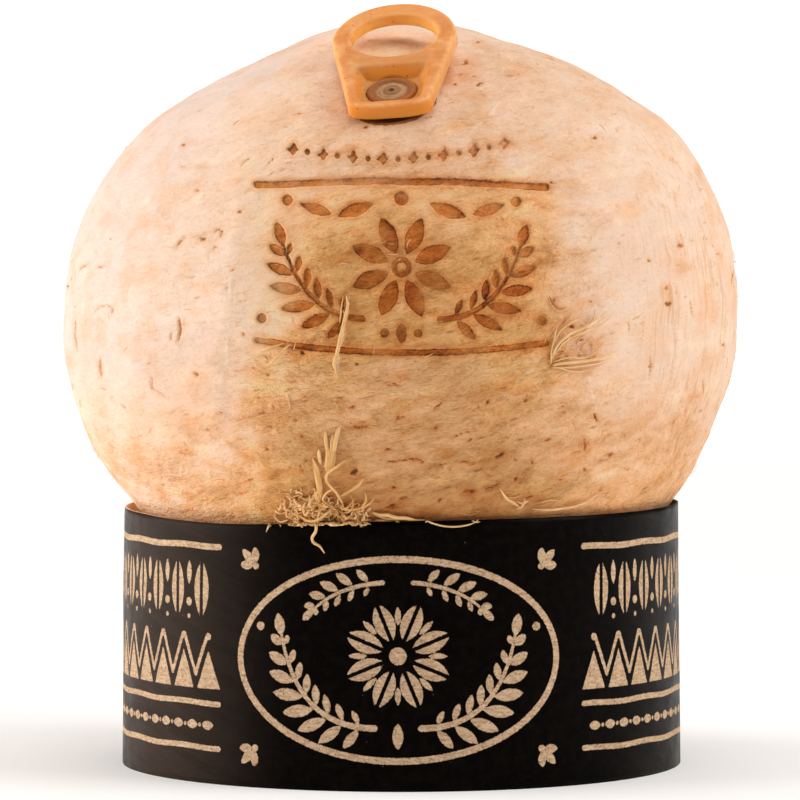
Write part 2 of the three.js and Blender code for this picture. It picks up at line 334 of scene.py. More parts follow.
def frond(ink, pts, size, w, count, stem, vein=0.0):
    """A palm frond: a midrib through the points with leaflets on both sides."""
    pts = np.asarray(pts, float)
    t = np.linspace(0, 1, 25)
    c = (1 - t)[:, None] ** 2 * pts[0] + (2 * t * (1 - t))[:, None] * pts[1] + (t ** 2)[:, None] * pts[2]
    ink.line(c, stem, stem * 0.45)
    (ax, ay), (bx, by) = pts[1] - pts[0], pts[2] - pts[1]
    bend = ax * by - ay * bx
    for k in range(count):
        u = (k + 0.75) / (count + 0.4)
        p = (1 - u) ** 2 * pts[0] + 2 * u * (1 - u) * pts[1] + u * u * pts[2]
        g = 2 * (1 - u) * (pts[1] - pts[0]) + 2 * u * (pts[2] - pts[1])
        a = math.atan2(g[1], g[0])
        ln = size * (math.sin(math.pi * (0.16 + 0.78 * u)) ** 0.8)
        for sg in (1, -1):
            b = a + sg * rad(58 - 26 * u)
            inner = sg * bend > 0
            L, wd = (ln * 0.62, w * 0.60) if inner else (ln, w * 0.92)
            x0, y0 = p[0] + (0.35 + stem * 0.3) * math.cos(b), p[1] + (0.35 + stem * 0.3) * math.sin(b)
            ink.leaf(x0, y0, x0 + L * math.cos(b), y0 + L * math.sin(b), wd * (0.75 + 0.35 * math.sin(math.pi * u)), vein)
    g = pts[2] - pts[1]
    a = math.atan2(g[1], g[0])
    ink.leaf(pts[2][0] - 0.3 * math.cos(a), pts[2][1] - 0.3 * math.sin(a), pts[2][0] + size * 0.62 * math.cos(a),
             pts[2][1] + size * 0.62 * math.sin(a), w * 0.9, vein)


def rosette(ink, cx, cy, r0, r1, w, petals, turn=0.0, vein=0.0):
    for k in range(petals):
        a = turn + k * 2 * math.pi / petals
        ink.leaf(cx + r0 * math.cos(a), cy + r0 * math.sin(a), cx + r1 * math.cos(a), cy + r1 * math.sin(a), w, vein)


# ------------------------------------------------------------------ burnt ornament on the husk
def burnt_ornament(px, py):
    """Signed distance to the burnt marks, from picture coordinates. X and Y are millimetres from the ornament's middle."""
    X, Y = (px - 401.5) / 5.58, (268.0 - py) / 5.58
    Y = Y - 0.0006 * X * X + 0.01 * X
    k = Ink(X, Y)
    rosette(k, 0, 0.2, 2.5, 9.6, 3.1, 8, rad(22.5))
    k.ring(0, 0.2, 1.35, 1.0)
    for sg in (-1, 1):
        frond(k, [(sg * 7.0, -9.2), (sg * 17.5, -8.8), (sg * 21.4, 4.0)], 6.4, 2.15, 6, 1.15)
        k.leaf(sg * 5.0, 11.6, sg * 11.6, 9.2, 2.3)
        k.leaf(sg * 12.6, 9.6, sg * 18.4, 11.4, 2.0)
        k.disc(sg * 20.6, 11.9, 0.95)
        k.disc(sg * 3.0, -11.7, 0.8)
        k.disc(sg * 25.2, -9.6, 0.9)
    k.leaf(0, -13.6, 0, -9.8, 1.9)
    k.disc(0, 12.6, 1.25)
    t = np.linspace(-1, 1, 41)
    k.line(np.c_[26.0 * t, -15.2 + 1.6 * t * t], 1.15)
    k.line(np.c_[26.0 * t, 15.6 - 1.2 * t * t], 1.25)
    # the small row above: darts and dots along a shallow curve
    for i in range(15):
        u = (i - 7) / 7
        x = (398 + 106 * u - 401.5) / 5.58
        yc = (268.0 - (158.5 - 11.5 * u * u - 3.5 * u)) / 5.58
        sl = 0.17 * u
        if i % 2 == 0:
            k.leaf(x - 0.35 * sl, yc - 1.15, x + 0.2, yc + 1.25, 1.15)
            k.leaf(x - 1.15, yc - 0.1 - 0.2 * sl, x + 1.15, yc + 0.1 + 0.9 * sl, 0.95)
        else:
            k.disc(x, yc, 0.52)
    return k.d


# ------------------------------------------------------------------ marks placed on the front of the husk
# (x, y, radius in picture pixels, depth of tone 0..1)
DOTS = [
    (184, 145, 2.0, .7), (182, 166, 1.8, .5), (197, 190, 2.0, .5), (240, 212, 2.2, .6), (366, 127, 1.8, .8), (299, 113, 1.5, .5),
    (148, 364, 2.0, .6), (195, 375, 2.2, .7), (202, 239, 2.6, .6), (233, 270, 1.6, .6), (228, 288, 1.5, .5), (215, 247, 1.5, .6),
    (650, 261, 2.3, .7), (667, 288, 2.6, .5), (668, 304, 2.6, .95), (595, 285, 1.8, .6), (723, 345, 2.0, .6), (651, 367, 2.4, .5),
    # the first three dots on the next line, under the tuft on the right, are painted shadows of its fibres
    (572, 327, 2.0, .85), (581, 340, 1.8, .8), (567, 357, 1.8, .7), (591, 301, 2.4, .35), (552, 182, 1.7, .6), (516, 209, 1.5, .4),
    (533, 107, 1.6, .45), (595, 137, 2.2, .9), (588, 110, 1.8, .35), (615, 115, 1.5, .3), (506, 180, 1.4, .5), (644, 163, 1.2, .25),
    (680, 246, 2.2, .6), (717, 254, 1.7, .45), (620, 243, 1.7, .4), (693, 240, 1.5, .3),
    (302, 353, 2.4, .95), (275, 381, 2.0, .85), (357, 364, 1.9, .9), (305, 382, 1.6, .5), (253, 367, 1.9, .55), (243, 334, 1.8, .6),
    (240, 302, 1.3, .4), (258, 398, 1.9, .6), (242, 398, 1.5, .6), (267, 375, 1.4, .5), (337, 403, 1.6, .55), (353, 407, 1.9, .5),
    (302, 437, 2.0, .85), (321, 460, 1.8, .9), (336, 467, 2.2, .9), (353, 473, 2.3, 1.), (398, 418, 2.0, .5), (387, 450, 2.4, .6),
    (394, 488, 2.4, .7), (392, 506, 3.0, .6), (266, 449, 2.0, .6), (250, 480, 2.2, .6), (295, 421, 2.0, .6), (362, 427, 2.2, .6),
    (435, 428, 2.0, .55), (488, 401, 2.0, .66), (527, 401, 2.0, .5), (501, 455, 2.5, .74), (532, 463, 2.0, .6), (516, 479, 2.2, .6),
    (471, 492, 2.0, .55), (420, 461, 1.8, .5), (396, 385, 2.6, .45), (403, 417, 1.6, .5), (372, 417, 1.5, .5), (446, 350, 1.5, .4),
    (560, 480, 2.0, .5), (585, 470, 2.0, .5), (610, 455, 2.0, .5), (628, 470, 1.8, .45), (548, 440, 2.0, .5), (470, 440, 1.8, .5),
    (450, 470, 2.0, .5), (440, 500, 1.8, .5), (482, 470, 1.6, .45), (600, 490, 1.8, .45), (640, 440, 1.7, .4), (207, 430, 1.8, .5),
    (180, 452, 2.0, .5), (160, 470, 2.0, .45), (225, 470, 2.0, .5), (240, 440, 1.7, .45), (200, 492, 2.2, .5), (150, 430, 1.6, .4),
    (478, 42, 1.7, .6), (466, 63, 1.6, .75), (479, 84, 2.0, .85), (474, 76, 1.3, .6), (473, 65, 1.3, .5), (461, 74, 1.4, .55), (448, 68, 1.4, .6), (484, 96, 1.4, .4),
    (437, 83, 1.6, .6), (455, 84, 1.7, .85), (430, 98, 1.3, .5), (465, 62, 1.4, .5), (322, 95, 1.4, .35), (280, 95, 1.4, .3),
]
# ([points], width in pixels, tone)
STROKES = [
    ([(435, 408), (438, 406), (442, 402)], 2.4, .70), ([(411, 461), (417, 459), (423, 462)], 3.0, .60), ([(485, 489), (492, 487), (499, 484)], 2.2, .72),
    ([(354, 427), (361, 428), (370, 427)], 2.8, .52), ([(454, 463), (464, 462), (474, 463)], 1.6, .8), ([(463, 492), (470, 491), (477, 490)], 3.6, .55),
    ([(384, 508), (391, 507), (398, 506)], 3.6, .58), ([(584, 438), (585, 446), (584, 452)], 2.8, .5), ([(526, 498), (533, 496)], 2.0, .7),
    ([(424, 470), (438, 466), (450, 462)], 1.3, .5), ([(388, 382), (396, 384)], 2.0, .5), ([(560, 408), (566, 405)], 1.6, .6),
    ([(80, 268), (84, 266), (89, 265)], 2.2, .8), ([(97, 267), (101, 266), (106, 266)], 2.0, .7), ([(174, 248), (180, 241), (186, 236)], 2.2, .7),
    ([(211, 234), (217, 229), (222, 231), (220, 236)], 2.0, .7), ([(75, 319), (74, 334), (75, 347)], 2.6, .55),
    ([(100, 357), (99, 368), (100, 378)], 2.8, .6), ([(178, 319), (179, 330), (177, 342)], 2.8, .9), ([(170, 332), (169, 340)], 2.0, .6),
    ([(93, 312), (98, 307), (106, 305), (112, 309), (110, 315)], 1.8, .6), ([(147, 373), (152, 380), (151, 388), (158, 393), (166, 399)], 1.5, .5),
    ([(240, 166), (246, 161), (251, 157)], 1.6, .5), ([(267, 164), (274, 156)], 1.6, .5), ([(292, 114), (305, 112)], 1.6, .4),
    ([(593, 413), (596, 419), (599, 424)], 2.0, .85), ([(651, 358), (652, 367), (650, 376)], 3.0, .4),
    ([(384, 463), (400, 461), (416, 458)], 1.6, .70), ([(455, 436), (462, 433), (470, 432)], 1.8, .6), ([(384, 387), (394, 384), (402, 386)], 2.0, .5),
    ([(361, 426), (354, 429)], 2.0, .5), ([(283, 395), (290, 388), (293, 394)], 1.8, .6), ([(318, 373), (322, 378)], 1.4, .5),
    # the last stroke on the next line, the dark crescent just under the ring's nose, is a painted shadow of the gap
    # between the nose and the husk
    ([(343, 300), (342, 312), (339, 330)], 1.8, .9), ([(341, 322), (338, 334)], 1.6, .7), ([(411, 46), (413, 52)], 1.7, 1.0), ([(360, 117.5), (370, 121.5), (385, 123.5), (402, 122.5), (415, 119), (424, 114)], 4.0, 1.0),
    ([(306, 461), (300, 466), (304, 474)], 1.6, .6), ([(519, 430), (528, 427)], 1.8, .5), ([(470, 410), (480, 407)], 1.6, .45),
    ([(558, 415), (568, 412)], 1.6, .45), ([(604, 437), (612, 434)], 1.5, .45), ([(430, 480), (441, 477)], 1.6, .5),
    ([(541, 492), (553, 488)], 1.7, .5), ([(486, 500), (496, 498)], 1.8, .5), ([(400, 500), (408, 498)], 1.7, .6),
    ([(425, 118), (434, 116)], 1.3, .5), ([(448, 104), (458, 101)], 1.3, .5), ([(556, 297), (553, 303), (557, 308)], 2.2, .8),
    ([(628, 320), (630, 332)], 1.8, .35), ([(690, 300), (692, 316)], 2.0, .35), ([(705, 380), (704, 394)], 2.0, .4),
    ([(675, 420), (672, 432)], 2.0, .4), ([(120, 405), (126, 410)], 1.8, .5), ([(136, 438), (143, 435)], 1.8, .5),
    ([(215, 415), (225, 412)], 1.6, .5), ([(263, 430), (272, 427)], 1.6, .55), ([(283, 470), (291, 467)], 1.7, .6),
    ([(236, 495), (246, 493)], 1.8, .55), ([(168, 415), (175, 411)], 1.6, .45),
]
# pale raised lines: ([points], width in pixels, height mm)
PALE = [
    ([(234, 262), (231, 285), (231, 306)], 3.4, .06), ([(228, 336), (226, 360), (219, 392)], 3.8, .06), ([(349, 297), (346, 316), (342, 340), (337, 362), (338, 376)], 3.0, .5),
    ([(345, 300), (343, 318)], 1.8, .3), ([(291, 344), (284, 352), (272, 362), (262, 366)], 2.2, .22), ([(278, 345), (264, 350), (250, 353)], 1.8, .18),
    ([(230, 426), (243, 423), (258, 418), (268, 414)], 2.0, .2), ([(286, 392), (289, 402)], 1.6, .18), ([(289, 350), (299, 354)], 1.4, .16),
    ([(501, 100), (494, 108), (488, 117)], 2.0, .16), ([(484, 121), (476, 127), (466, 139)], 1.5, .12), ([(465, 150), (469, 175), (478, 196)], 1.3, .10),
    ([(588, 375), (590, 388), (592, 400)], 2.4, .18), ([(587, 222), (596, 219), (605, 216)], 2.0, .15), ([(578, 232), (588, 228)], 1.6, .12),
    ([(255, 300), (268, 296), (283, 290)], 1.4, .1), ([(333, 395), (338, 410)], 1.8, .15), ([(395, 300), (400, 315)], 1.4, .1),
    ([(140, 330), (150, 326)], 1.5, .1), ([(420, 330), (440, 326)], 1.2, .08), ([(480, 350), (500, 344)], 1.4, .1),
    ([(520, 375), (538, 368)], 1.8, .16), ([(640, 292), (652, 300), (655, 312)], 1.6, .12), ([(700, 250), (706, 262)], 1.6, .1),
]
# soft orange smears: (x, y, radius x, radius y, tone)
SMEARS = [(201, 166, 10, 4, .5), (682, 267, 8, 7, .8), (700, 175, 4, 14, .5), (575, 190, 12, 9, .45), (100, 368, 4, 12, .5), (591, 301, 9, 5, .5),
          # the first two smears on the next line, right of the ring, are partly a brown stain and partly a painted
          # shadow of the ring
          (446, 78, 9, 12, .8), (470, 92, 12, 8, .4), (300, 380, 16, 7, .4), (392, 508, 16, 9, .6), (255, 372, 14, 8, .4), (415, 300, 20, 8, .25),
          (470, 70, 13, 15, .65), (478, 96, 11, 8, .4), (444, 26, 6, 10, .4), (556, 350, 18, 18, .45), (350, 480, 22, 12, .45), (640, 420, 16, 12, .12), (150, 470, 18, 8, .35),
          (361, 427, 13, 6, .75), (417, 460, 13, 6, .75), (502, 455, 11, 6, .75), (470, 491, 11, 7, .9), (391, 507, 14, 8, .7), (585, 444, 8, 11, .65),
          (517, 479, 11, 6, .6), (435, 428, 8, 5, .55), (399, 418, 8, 6, .5), (531, 496, 10, 5, .55), (560, 452, 8, 10, .4), (393, 488, 9, 6, .6)]


def stroke_distance(px, py, pts, far=14.0):
    """Distance in pixels to a line through the points, and the share of the way along; inf beyond far."""
    pts = np.asarray(pts, float)
    d, t = np.full(len(px), 1e9), np.zeros(len(px))
    lo, hi = pts.min(0) - far, pts.max(0) + far
    i = np.nonzero((px > lo[0]) & (px < hi[0]) & (py > lo[1]) & (py < hi[1]))[0]
    if not len(i):
        return i, d[i], t[i]
    x, y = px[i], py[i]
    best, along = np.full(len(i), 1e9), np.zeros(len(i))
    n = len(pts) - 1
    for k in range(n):
        a, b = pts[k], pts[k + 1]
        g = b - a
        s = np.clip(((x - a[0]) * g[0] + (y - a[1]) * g[1]) / (g @ g), 0, 1)
        e = np.hypot(x - a[0] - s * g[0], y - a[1] - s * g[1])
        m = e < best
        best[m], along[m] = e[m], (k + s[m]) / n
    return i, best, along


RIDGES = np.radians(np.array([-176, -157, -139, -120, -98, -79, -56.5, -37, -19, 2, 21, 44, 61, 83, 104, 121, 146, 164]))
RIDGE_H = np.array([.6, .8, .5, 1.1, .25, .3, .6, .7, .8, .6, .9, .7, .8, .6, .9, .7, .8, .7])


def trimming(P):
    """The uneven skin left by the knife: broad waves, then shallow ripples that climb a little along the cut."""
    c, s = math.cos(rad(13)), math.sin(rad(13))
    S = np.c_[P[:, 0] * c + P[:, 2] * s, P[:, 1], -P[:, 0] * s + P[:, 2] * c]
    rough = 0.55 + 0.9 * np.clip(vnoise(P / 19, 15) + 0.3, 0, 1)
    d = 0.22 * fbm(P / 17.0, 3, 11) + 0.17 * fbm(S * [0.15, 0.15, 0.34], 3, 21)
    return d + rough * (0.105 * fbm(S * [0.30, 0.30, 0.72], 2, 31) + 0.065 * vnoise(P * 0.52, 35))


def husk_fields(P, N, tones=False):
    """For base points and normals: how far each moves along its normal, and the tones painted on it."""
    n = len(P)
    x, y, z = P.T
    phi = np.arctan2(y, x)
    front = N @ -FWD > 0.02
    px, py = to_px(P)
    px = np.where(front, px, -1e4)
    out = {}
    # facets left by the knife: shallow hollows between long soft ridges
    wob = 0.040 * vnoise(np.c_[z / 22, np.full(n, 3.1), np.cos(phi) * 2], 5) + 0.020 * vnoise(P / 7.0, 6)
    a = phi + wob
    k = np.searchsorted(RIDGES, a) - 1
    lo = np.where(k < 0, RIDGES[-1] - 2 * np.pi, RIDGES[k])
    kh = (k + 1) % len(RIDGES)
    hi = np.where(k == len(RIDGES) - 1, RIDGES[0] + 2 * np.pi, RIDGES[kh])
    u = (a - lo) / (hi - lo)
    hl, hh = RIDGE_H[k], RIDGE_H[kh]
    body = smooth(50, 64, z) * (1 - smooth(104, 121, z))
    width = (hi - lo) * 60
    hollow = 0.30 * 4 * u * (1 - u) + 0.70 * np.sin(np.pi * u) ** 2
    facet = -np.minimum(0.42, width ** 2 * 0.0011) * hollow * (hl * (1 - u) + hh * u)
    near = np.minimum(u, 1 - u) * width
    crest = np.exp(-(near / 1.9) ** 2) * np.where(u < 0.5, hl, hh)
    d = body * (facet + 0.07 * crest)
    ridge = body * crest * np.clip(0.35 + 0.9 * vnoise(P / 8.0, 9), 0, 1)
    # uneven trimming
    d = d + trimming(P)
    d = d * smooth(0, 3, z)
    mark, pale, smear = np.zeros(n), np.zeros(n), np.zeros(n)
    shape = np.random.RandomState(3)
    left = 1 - smooth(170, 250, px)
    for (cx, cy, r, tone) in DOTS:
        long_, turn = shape.uniform(1.0, 2.3), rad(shape.normal(-12, 25))
        r = r * shape.uniform(0.62, 0.95)
        if 340 < cx < 640 and cy > 384:
            # the pits low in the middle are a little deeper
            r, tone = 1.10 * r, min(1.0, 1.16 * tone)
        i = np.nonzero((np.abs(px - cx) < r * 2 + 4) & (np.abs(py - cy) < r * 2 + 4))[0]
        if len(i):
            ux, uy = px[i] - cx, py[i] - cy
            e = np.hypot((ux * math.cos(turn) + uy * math.sin(turn)) / long_, uy * math.cos(turn) - ux * math.sin(turn)) * (1 + 0.45 * vnoise(P[i] * 1.7, 41))
            w = 1 - smooth(r * 0.40, r * 1.35, e)
            mark[i] = np.maximum(mark[i], w * tone)
            d[i] -= 0.20 * w * tone
            d[i] += 0.07 * np.exp(-((e - r * 1.9) / (r * 0.7)) ** 2) * tone
            smear[i] = np.maximum(smear[i], 0.40 * tone * (1 - smooth(r, r * 3.2, e)))
    for pts, w0, tone in STROKES:
        i, e, t = stroke_distance(px, py, pts)
        taper = np.sqrt(np.clip(4 * t * (1 - t), 0.12, 1))
        w0 = w0 * 0.74
        w = 1 - smooth(w0 * 0.2 * taper, w0 * 0.9 * taper, e * (1 + 0.35 * vnoise(P[i] * 1.5, 43)))
        mark[i] = np.maximum(mark[i], w * tone)
        d[i] -= 0.30 * w * tone
        d[i] += 0.08 * np.exp(-((e - w0 * 1.3) / (w0 * 0.7)) ** 2) * tone
        smear[i] = np.maximum(smear[i], 0.5 * tone * (1 - smooth(w0 * .7, w0 * 2.6, e)))
    mark = mark * (1 - 0.30 * left)
    for pts, w0, h in PALE:
        i, e, t = stroke_distance(px, py, pts)
        taper = np.sqrt(np.clip(4 * t * (1 - t), 0.1, 1))
        w = (1 - smooth(w0 * 0.2 * taper, w0 * 0.85 * taper, e)) * np.clip(0.75 + 0.9 * vnoise(P[i] / 1.6, 45), 0, 1)
        pale[i] = np.maximum(pale[i], w * np.clip(h * 4.5, 0.3, 1))
        d[i] += h * w
    for cx, cy, rx, ry, tone in SMEARS:
        i = np.nonzero((np.abs(px - cx) < 3 * rx) & (np.abs(py - cy) < 3 * ry))[0]
        if len(i):
            e = np.hypot((px[i] - cx) / rx, (py[i] - cy) / ry) + 0.5 * fbm(P[i] / 2.6, 2, 47)
            smear[i] = np.maximum(smear[i], tone * (1 - smooth(0.3, 1.5, e)))
    # slits and pits on the sides and back
    rng = np.random.RandomState(7)
    m = 270
    for q in range(m):
        f = rng.uniform(-180, 180)
        zz = rng.uniform(48, 124)
        tone, L, w0, ang = rng.uniform(.30, .90), abs(rng.normal(0, 1.25)) + 0.2, rng.uniform(.16, .42), rng.normal(12, 24)
        if q % 4 == 0:
            ang = rng.normal(88, 12)
        if -168 < f < -12:
            continue
        fr = rad(f)
        c = np.array([husk_r(zz, fr) * math.cos(fr), husk_r(zz, fr) * math.sin(fr), zz])
        i = np.nonzero((np.abs(x - c[0]) < L + 1.5) & (np.abs(y - c[1]) < L + 1.5) & (np.abs(z - c[2]) < L + 1.5))[0]
        if not len(i):
            continue
        tang = np.array([-math.sin(fr), math.cos(fr), 0])
        g = math.cos(rad(ang)) * tang + math.sin(rad(ang)) * np.array([0, 0, 1.0])
        v = P[i] - c
        s = np.clip(v @ g, -L, L)
        e = np.linalg.norm(v - s[:, None] * g, axis=1) * (1 + 0.25 * vnoise(P[i] * 1.2, 51))
        w = 1 - smooth(w0 * 0.5, w0 * 1.3, e)
        mark[i] = np.maximum(mark[i], w * tone)
        d[i] -= 0.22 * w * tone
        smear[i] = np.maximum(smear[i], 0.5 * tone * (1 - smooth(w0, w0 * 3.2, e)))
    # the burnt ornament is pressed in a little
    ink = np.full(n, 3.0)
    i = np.nonzero((px > 235) & (px < 570) & (py > 128) & (py < 362))[0]
    if len(i):
        ink[i] = burnt_ornament(px[i], py[i]) + 0.10 * fbm(P[i] / 0.9, 2, 61) + 0.07 * fbm(P[i] / 3.0, 2, 63)
        d[i] -= 0.46 * (1 - smooth(-0.28, 0.14, ink[i]))
        d[i] += 0.07 * np.exp(-((ink[i] - 0.33) / 0.2) ** 2)
    out.update(d=d, mark=mark, pale=pale, smear=smear, ink=ink, ridge=np.clip(ridge, 0, 1.2))
    if tones:
        out.update(husk_tones(P, phi, px, py, front))
    return out


# linear tones of the shaved husk, from the palest cream to the deepest tan
TONES = np.array([[0.0, .79, .605, .502], [0.28, .87, .615, .450], [0.60, .82, .455, .235], [0.88, .690, .365, .150], [1.15, .570, .250, .080]])


def husk_tones(P, phi, px, py, front):
    """Slow changes of tone: cream on the dry bright side, tan where the husk is moist and fibrous, orange at the foot."""
    z = P[:, 2]
    c, s = math.cos(rad(13)), math.sin(rad(13))
    S = np.c_[P[:, 0] * c + z * s, P[:, 1], -P[:, 0] * s + z * c]
    t1, t2 = fbm(P / 26, 3, 101), fbm(S * [.11, .11, .25], 3, 103)
    t3, t4 = fbm(S * [.26, .26, .75], 3, 105), fbm(P / 13, 3, 107)
    left = 1 - smooth(rad(14), rad(40), np.abs((phi + rad(163) + np.pi) % (2 * np.pi) - np.pi))
    edge = 8 * fbm(np.c_[z / 9, z * 0, z * 0], 2, 109) + 16 * fbm(P * [.2, .2, .34], 3, 111)
    low = smooth(84, 60, z)
    b0, b1 = 256 - 44 * low, 322 - 44 * low + 36 * smooth(88, 106, z)
    mid = smooth(0, 1, (px + edge - b0) / (b1 - b0)) * (1 - smooth(488 + 34 * low, 632, px - 1.5 * edge)) * (0.16 + 0.84 * smooth(90, 340, py))
    mid = np.where(front, mid, 0)
    round_ = np.clip(0.5 + 1.1 * t1, 0, 1) * (1 - smooth(70, 112, z)) * smooth(rad(-6), rad(28), phi) * (1 - smooth(rad(138), rad(170), phi))
    w = 0.27 * (1 - left)
    w = w + (0.86 - w) * np.maximum(mid, 0.5 * round_)
    w = w + np.clip(0.62 - w, 0, 1) * smooth(78, 47, z) + 0.22 * smooth(59, 45, z) * mid
    k = smooth(0.05, 0.8, w)
    w = w + 0.13 * t1 * (0.5 + 0.5 * k) + (0.06 + 0.19 * k) * t2 + (0.07 + 0.16 * k) * t3 + 0.11 * t4 * (1 - k)
    w = np.clip(w, 0, 1.15)
    rgb = np.stack([np.interp(w, TONES[:, 0], TONES[:, i]) for i in (1, 2, 3)], 1)
    # amber light falls through the ring on the husk inside it
    la, ls, _ = opener_local(P)
    through = np.where(z > 100, 1 - smooth(6.5, 11.5, np.hypot(la, ls - 16)), 0)
    rgb = rgb * (1 + through[:, None] * (np.array([1.02, .97, .82]) - 1))
    # olive-brown smudges low in the middle, pale scrapes, rosy patches, all lying along the cut
    m1 = smooth(.14, .50, fbm(S * [.085, .085, .33], 4, 113)) * smooth(.45, .9, w)
    m2 = smooth(.16, .50, fbm(S * [.15, .15, .50], 4, 117)) * (0.35 + 0.65 * k)
    m3 = smooth(.10, .45, fbm(P / 9, 3, 119)) * (1 - k)
    m4 = smooth(.20, .50, fbm(S * [.2, .2, .42], 3, 121)) * smooth(.2, .7, w)
    # blushes and scrapes, and outside the moist middle a paler foot: painted light that lifts the shade of the
    # downward-facing foot
    m5 = smooth(.06, .42, fbm(S * [.17, .17, .24], 3, 123)) * (1 - 0.6 * k)
    m6 = smooth(.10, .45, fbm(S * [.14, .14, .36], 3, 127)) * (1 - 0.6 * k)
    foot_painted_light = smooth(62, 47, z) * (1 - 0.75 * mid)
    for m, f in ((m1, (.77, .72, .64)), (m2, (1.12, 1.15, 1.14)), (m3, (1.0, .93, .89)), (m4, (.97, .84, .68)), (m5, (.99, .90, .80)), (m6, (1.04, 1.04, 1.07)), (foot_painted_light, (1.13, 1.085, 1.0))):
        rgb = rgb * (1 + m[:, None] * (np.array(f) - 1))
    # the moist middle glows a little round the burnt ornament, and the whole of it is golden
    edge2 = 10 * fbm(P * [.16, .16, .22], 3, 133)
    burnt = smooth(236, 270, px + edge2) * (1 - smooth(538, 580, px - edge2)) * smooth(168, 200, py + edge2) * (1 - smooth(342, 372, py + edge2))
    belt = mid * smooth(330, 360, py) * (1 - smooth(405, 460, py))
    under = mid * smooth(342, 358, py + 0.4 * edge2) * (1 - smooth(382, 402, py + 0.6 * edge2)) * np.clip(smooth(385, 335, px) + smooth(465, 500, px), 0, 1)
    burnt = np.where(front, burnt, 0)
    shore = np.where(front, smooth(222, 244, px + edge2) * (1 - smooth(268, 296, px + edge2)) * smooth(130, 180, py), 0)
    # a soft painted shade lies to the left under the ornament, and the foot on the left is pale
    left_painted_shade = np.where(front, smooth(105, 190, px) * (1 - smooth(216, 246, px + edge2)) * smooth(322, 356, py) * (1 - smooth(418, 462, py)), 0)
    foot = np.where(front, smooth(448, 474, py), 0)
    pale_foot = foot * (1 - smooth(172, 214, px + edge2))
    gold_foot = foot * smooth(240, 262, px + edge2) * (1 - smooth(296, 326, px + edge2))
    for m, f in ((left_painted_shade, (.965, .925, .885)), (pale_foot, (.985, 1.07, 1.26)), (gold_foot, (1.12, 1.19, 1.19)), (burnt * k, (1.10, 1.05, .86)), (burnt * (1 - k), (1.03, .945, .79)), (shore * (1 - burnt), (1.06, 1.005, .95)), (belt, (1.115, 1.13, 1.16)), (under, (1.11, 1.15, 1.15)),
                 (mid * smooth(395, 440, py), (.965, .945, .87))):
        rgb = rgb * (1 + m[:, None] * (np.array(f) - 1))
    # where the knife ran downwards the streaks stand upright
    up = np.where(front, smooth(600, 680, px - 2 * edge) + 0 * px, smooth(.05, .25, fbm(P / 30, 2, 131)))
    return {"tint": np.clip(rgb, 0, .895), "warm": w, "upright": up}


def husk_base_normals(P):
    """Normals of the smooth base shape by differences."""
    z, phi = P[:, 2], np.arctan2(P[:, 1], P[:, 0])
    h = 0.05
    z0, z1 = np.clip(z - h, 0, 132.8), np.clip(z + h, 0, 132.8)
    drz = (husk_r(z1, phi) - husk_r(z0, phi)) / (z1 - z0)
    r = husk_r(z, phi)
    drp = (husk_r(z, phi + 1e-3) - husk_r(z, phi - 1e-3)) / 2e-3
    er = np.c_[np.cos(phi), np.sin(phi), 0 * z]
    ep = np.c_[-np.sin(phi), np.cos(phi), 0 * z]
    n = er - ep * (drp / np.maximum(r, 1e-6))[:, None] - np.c_[0 * z, 0 * z, drz]
    n = n / np.linalg.norm(n, axis=1)[:, None]
    n[z > 132.75] = [0, 0, 1]
    n[z < 0.02] = [0, 0, -1]
    return n


def seat_cut(P):
    """Presses points down onto the flat seat round the opener."""
    a, s, u = opener_local(P)
    r = np.hypot(a, s)
    m = (r < 26) & (u > -3)
    target = smin(u, np.full(len(u), SEAT), 0.22)
    w = 1 - smooth(20, 26, r)
    u2 = np.where(m, u + (target - u) * w, u)
    return P + np.outer(u2 - u, EN)


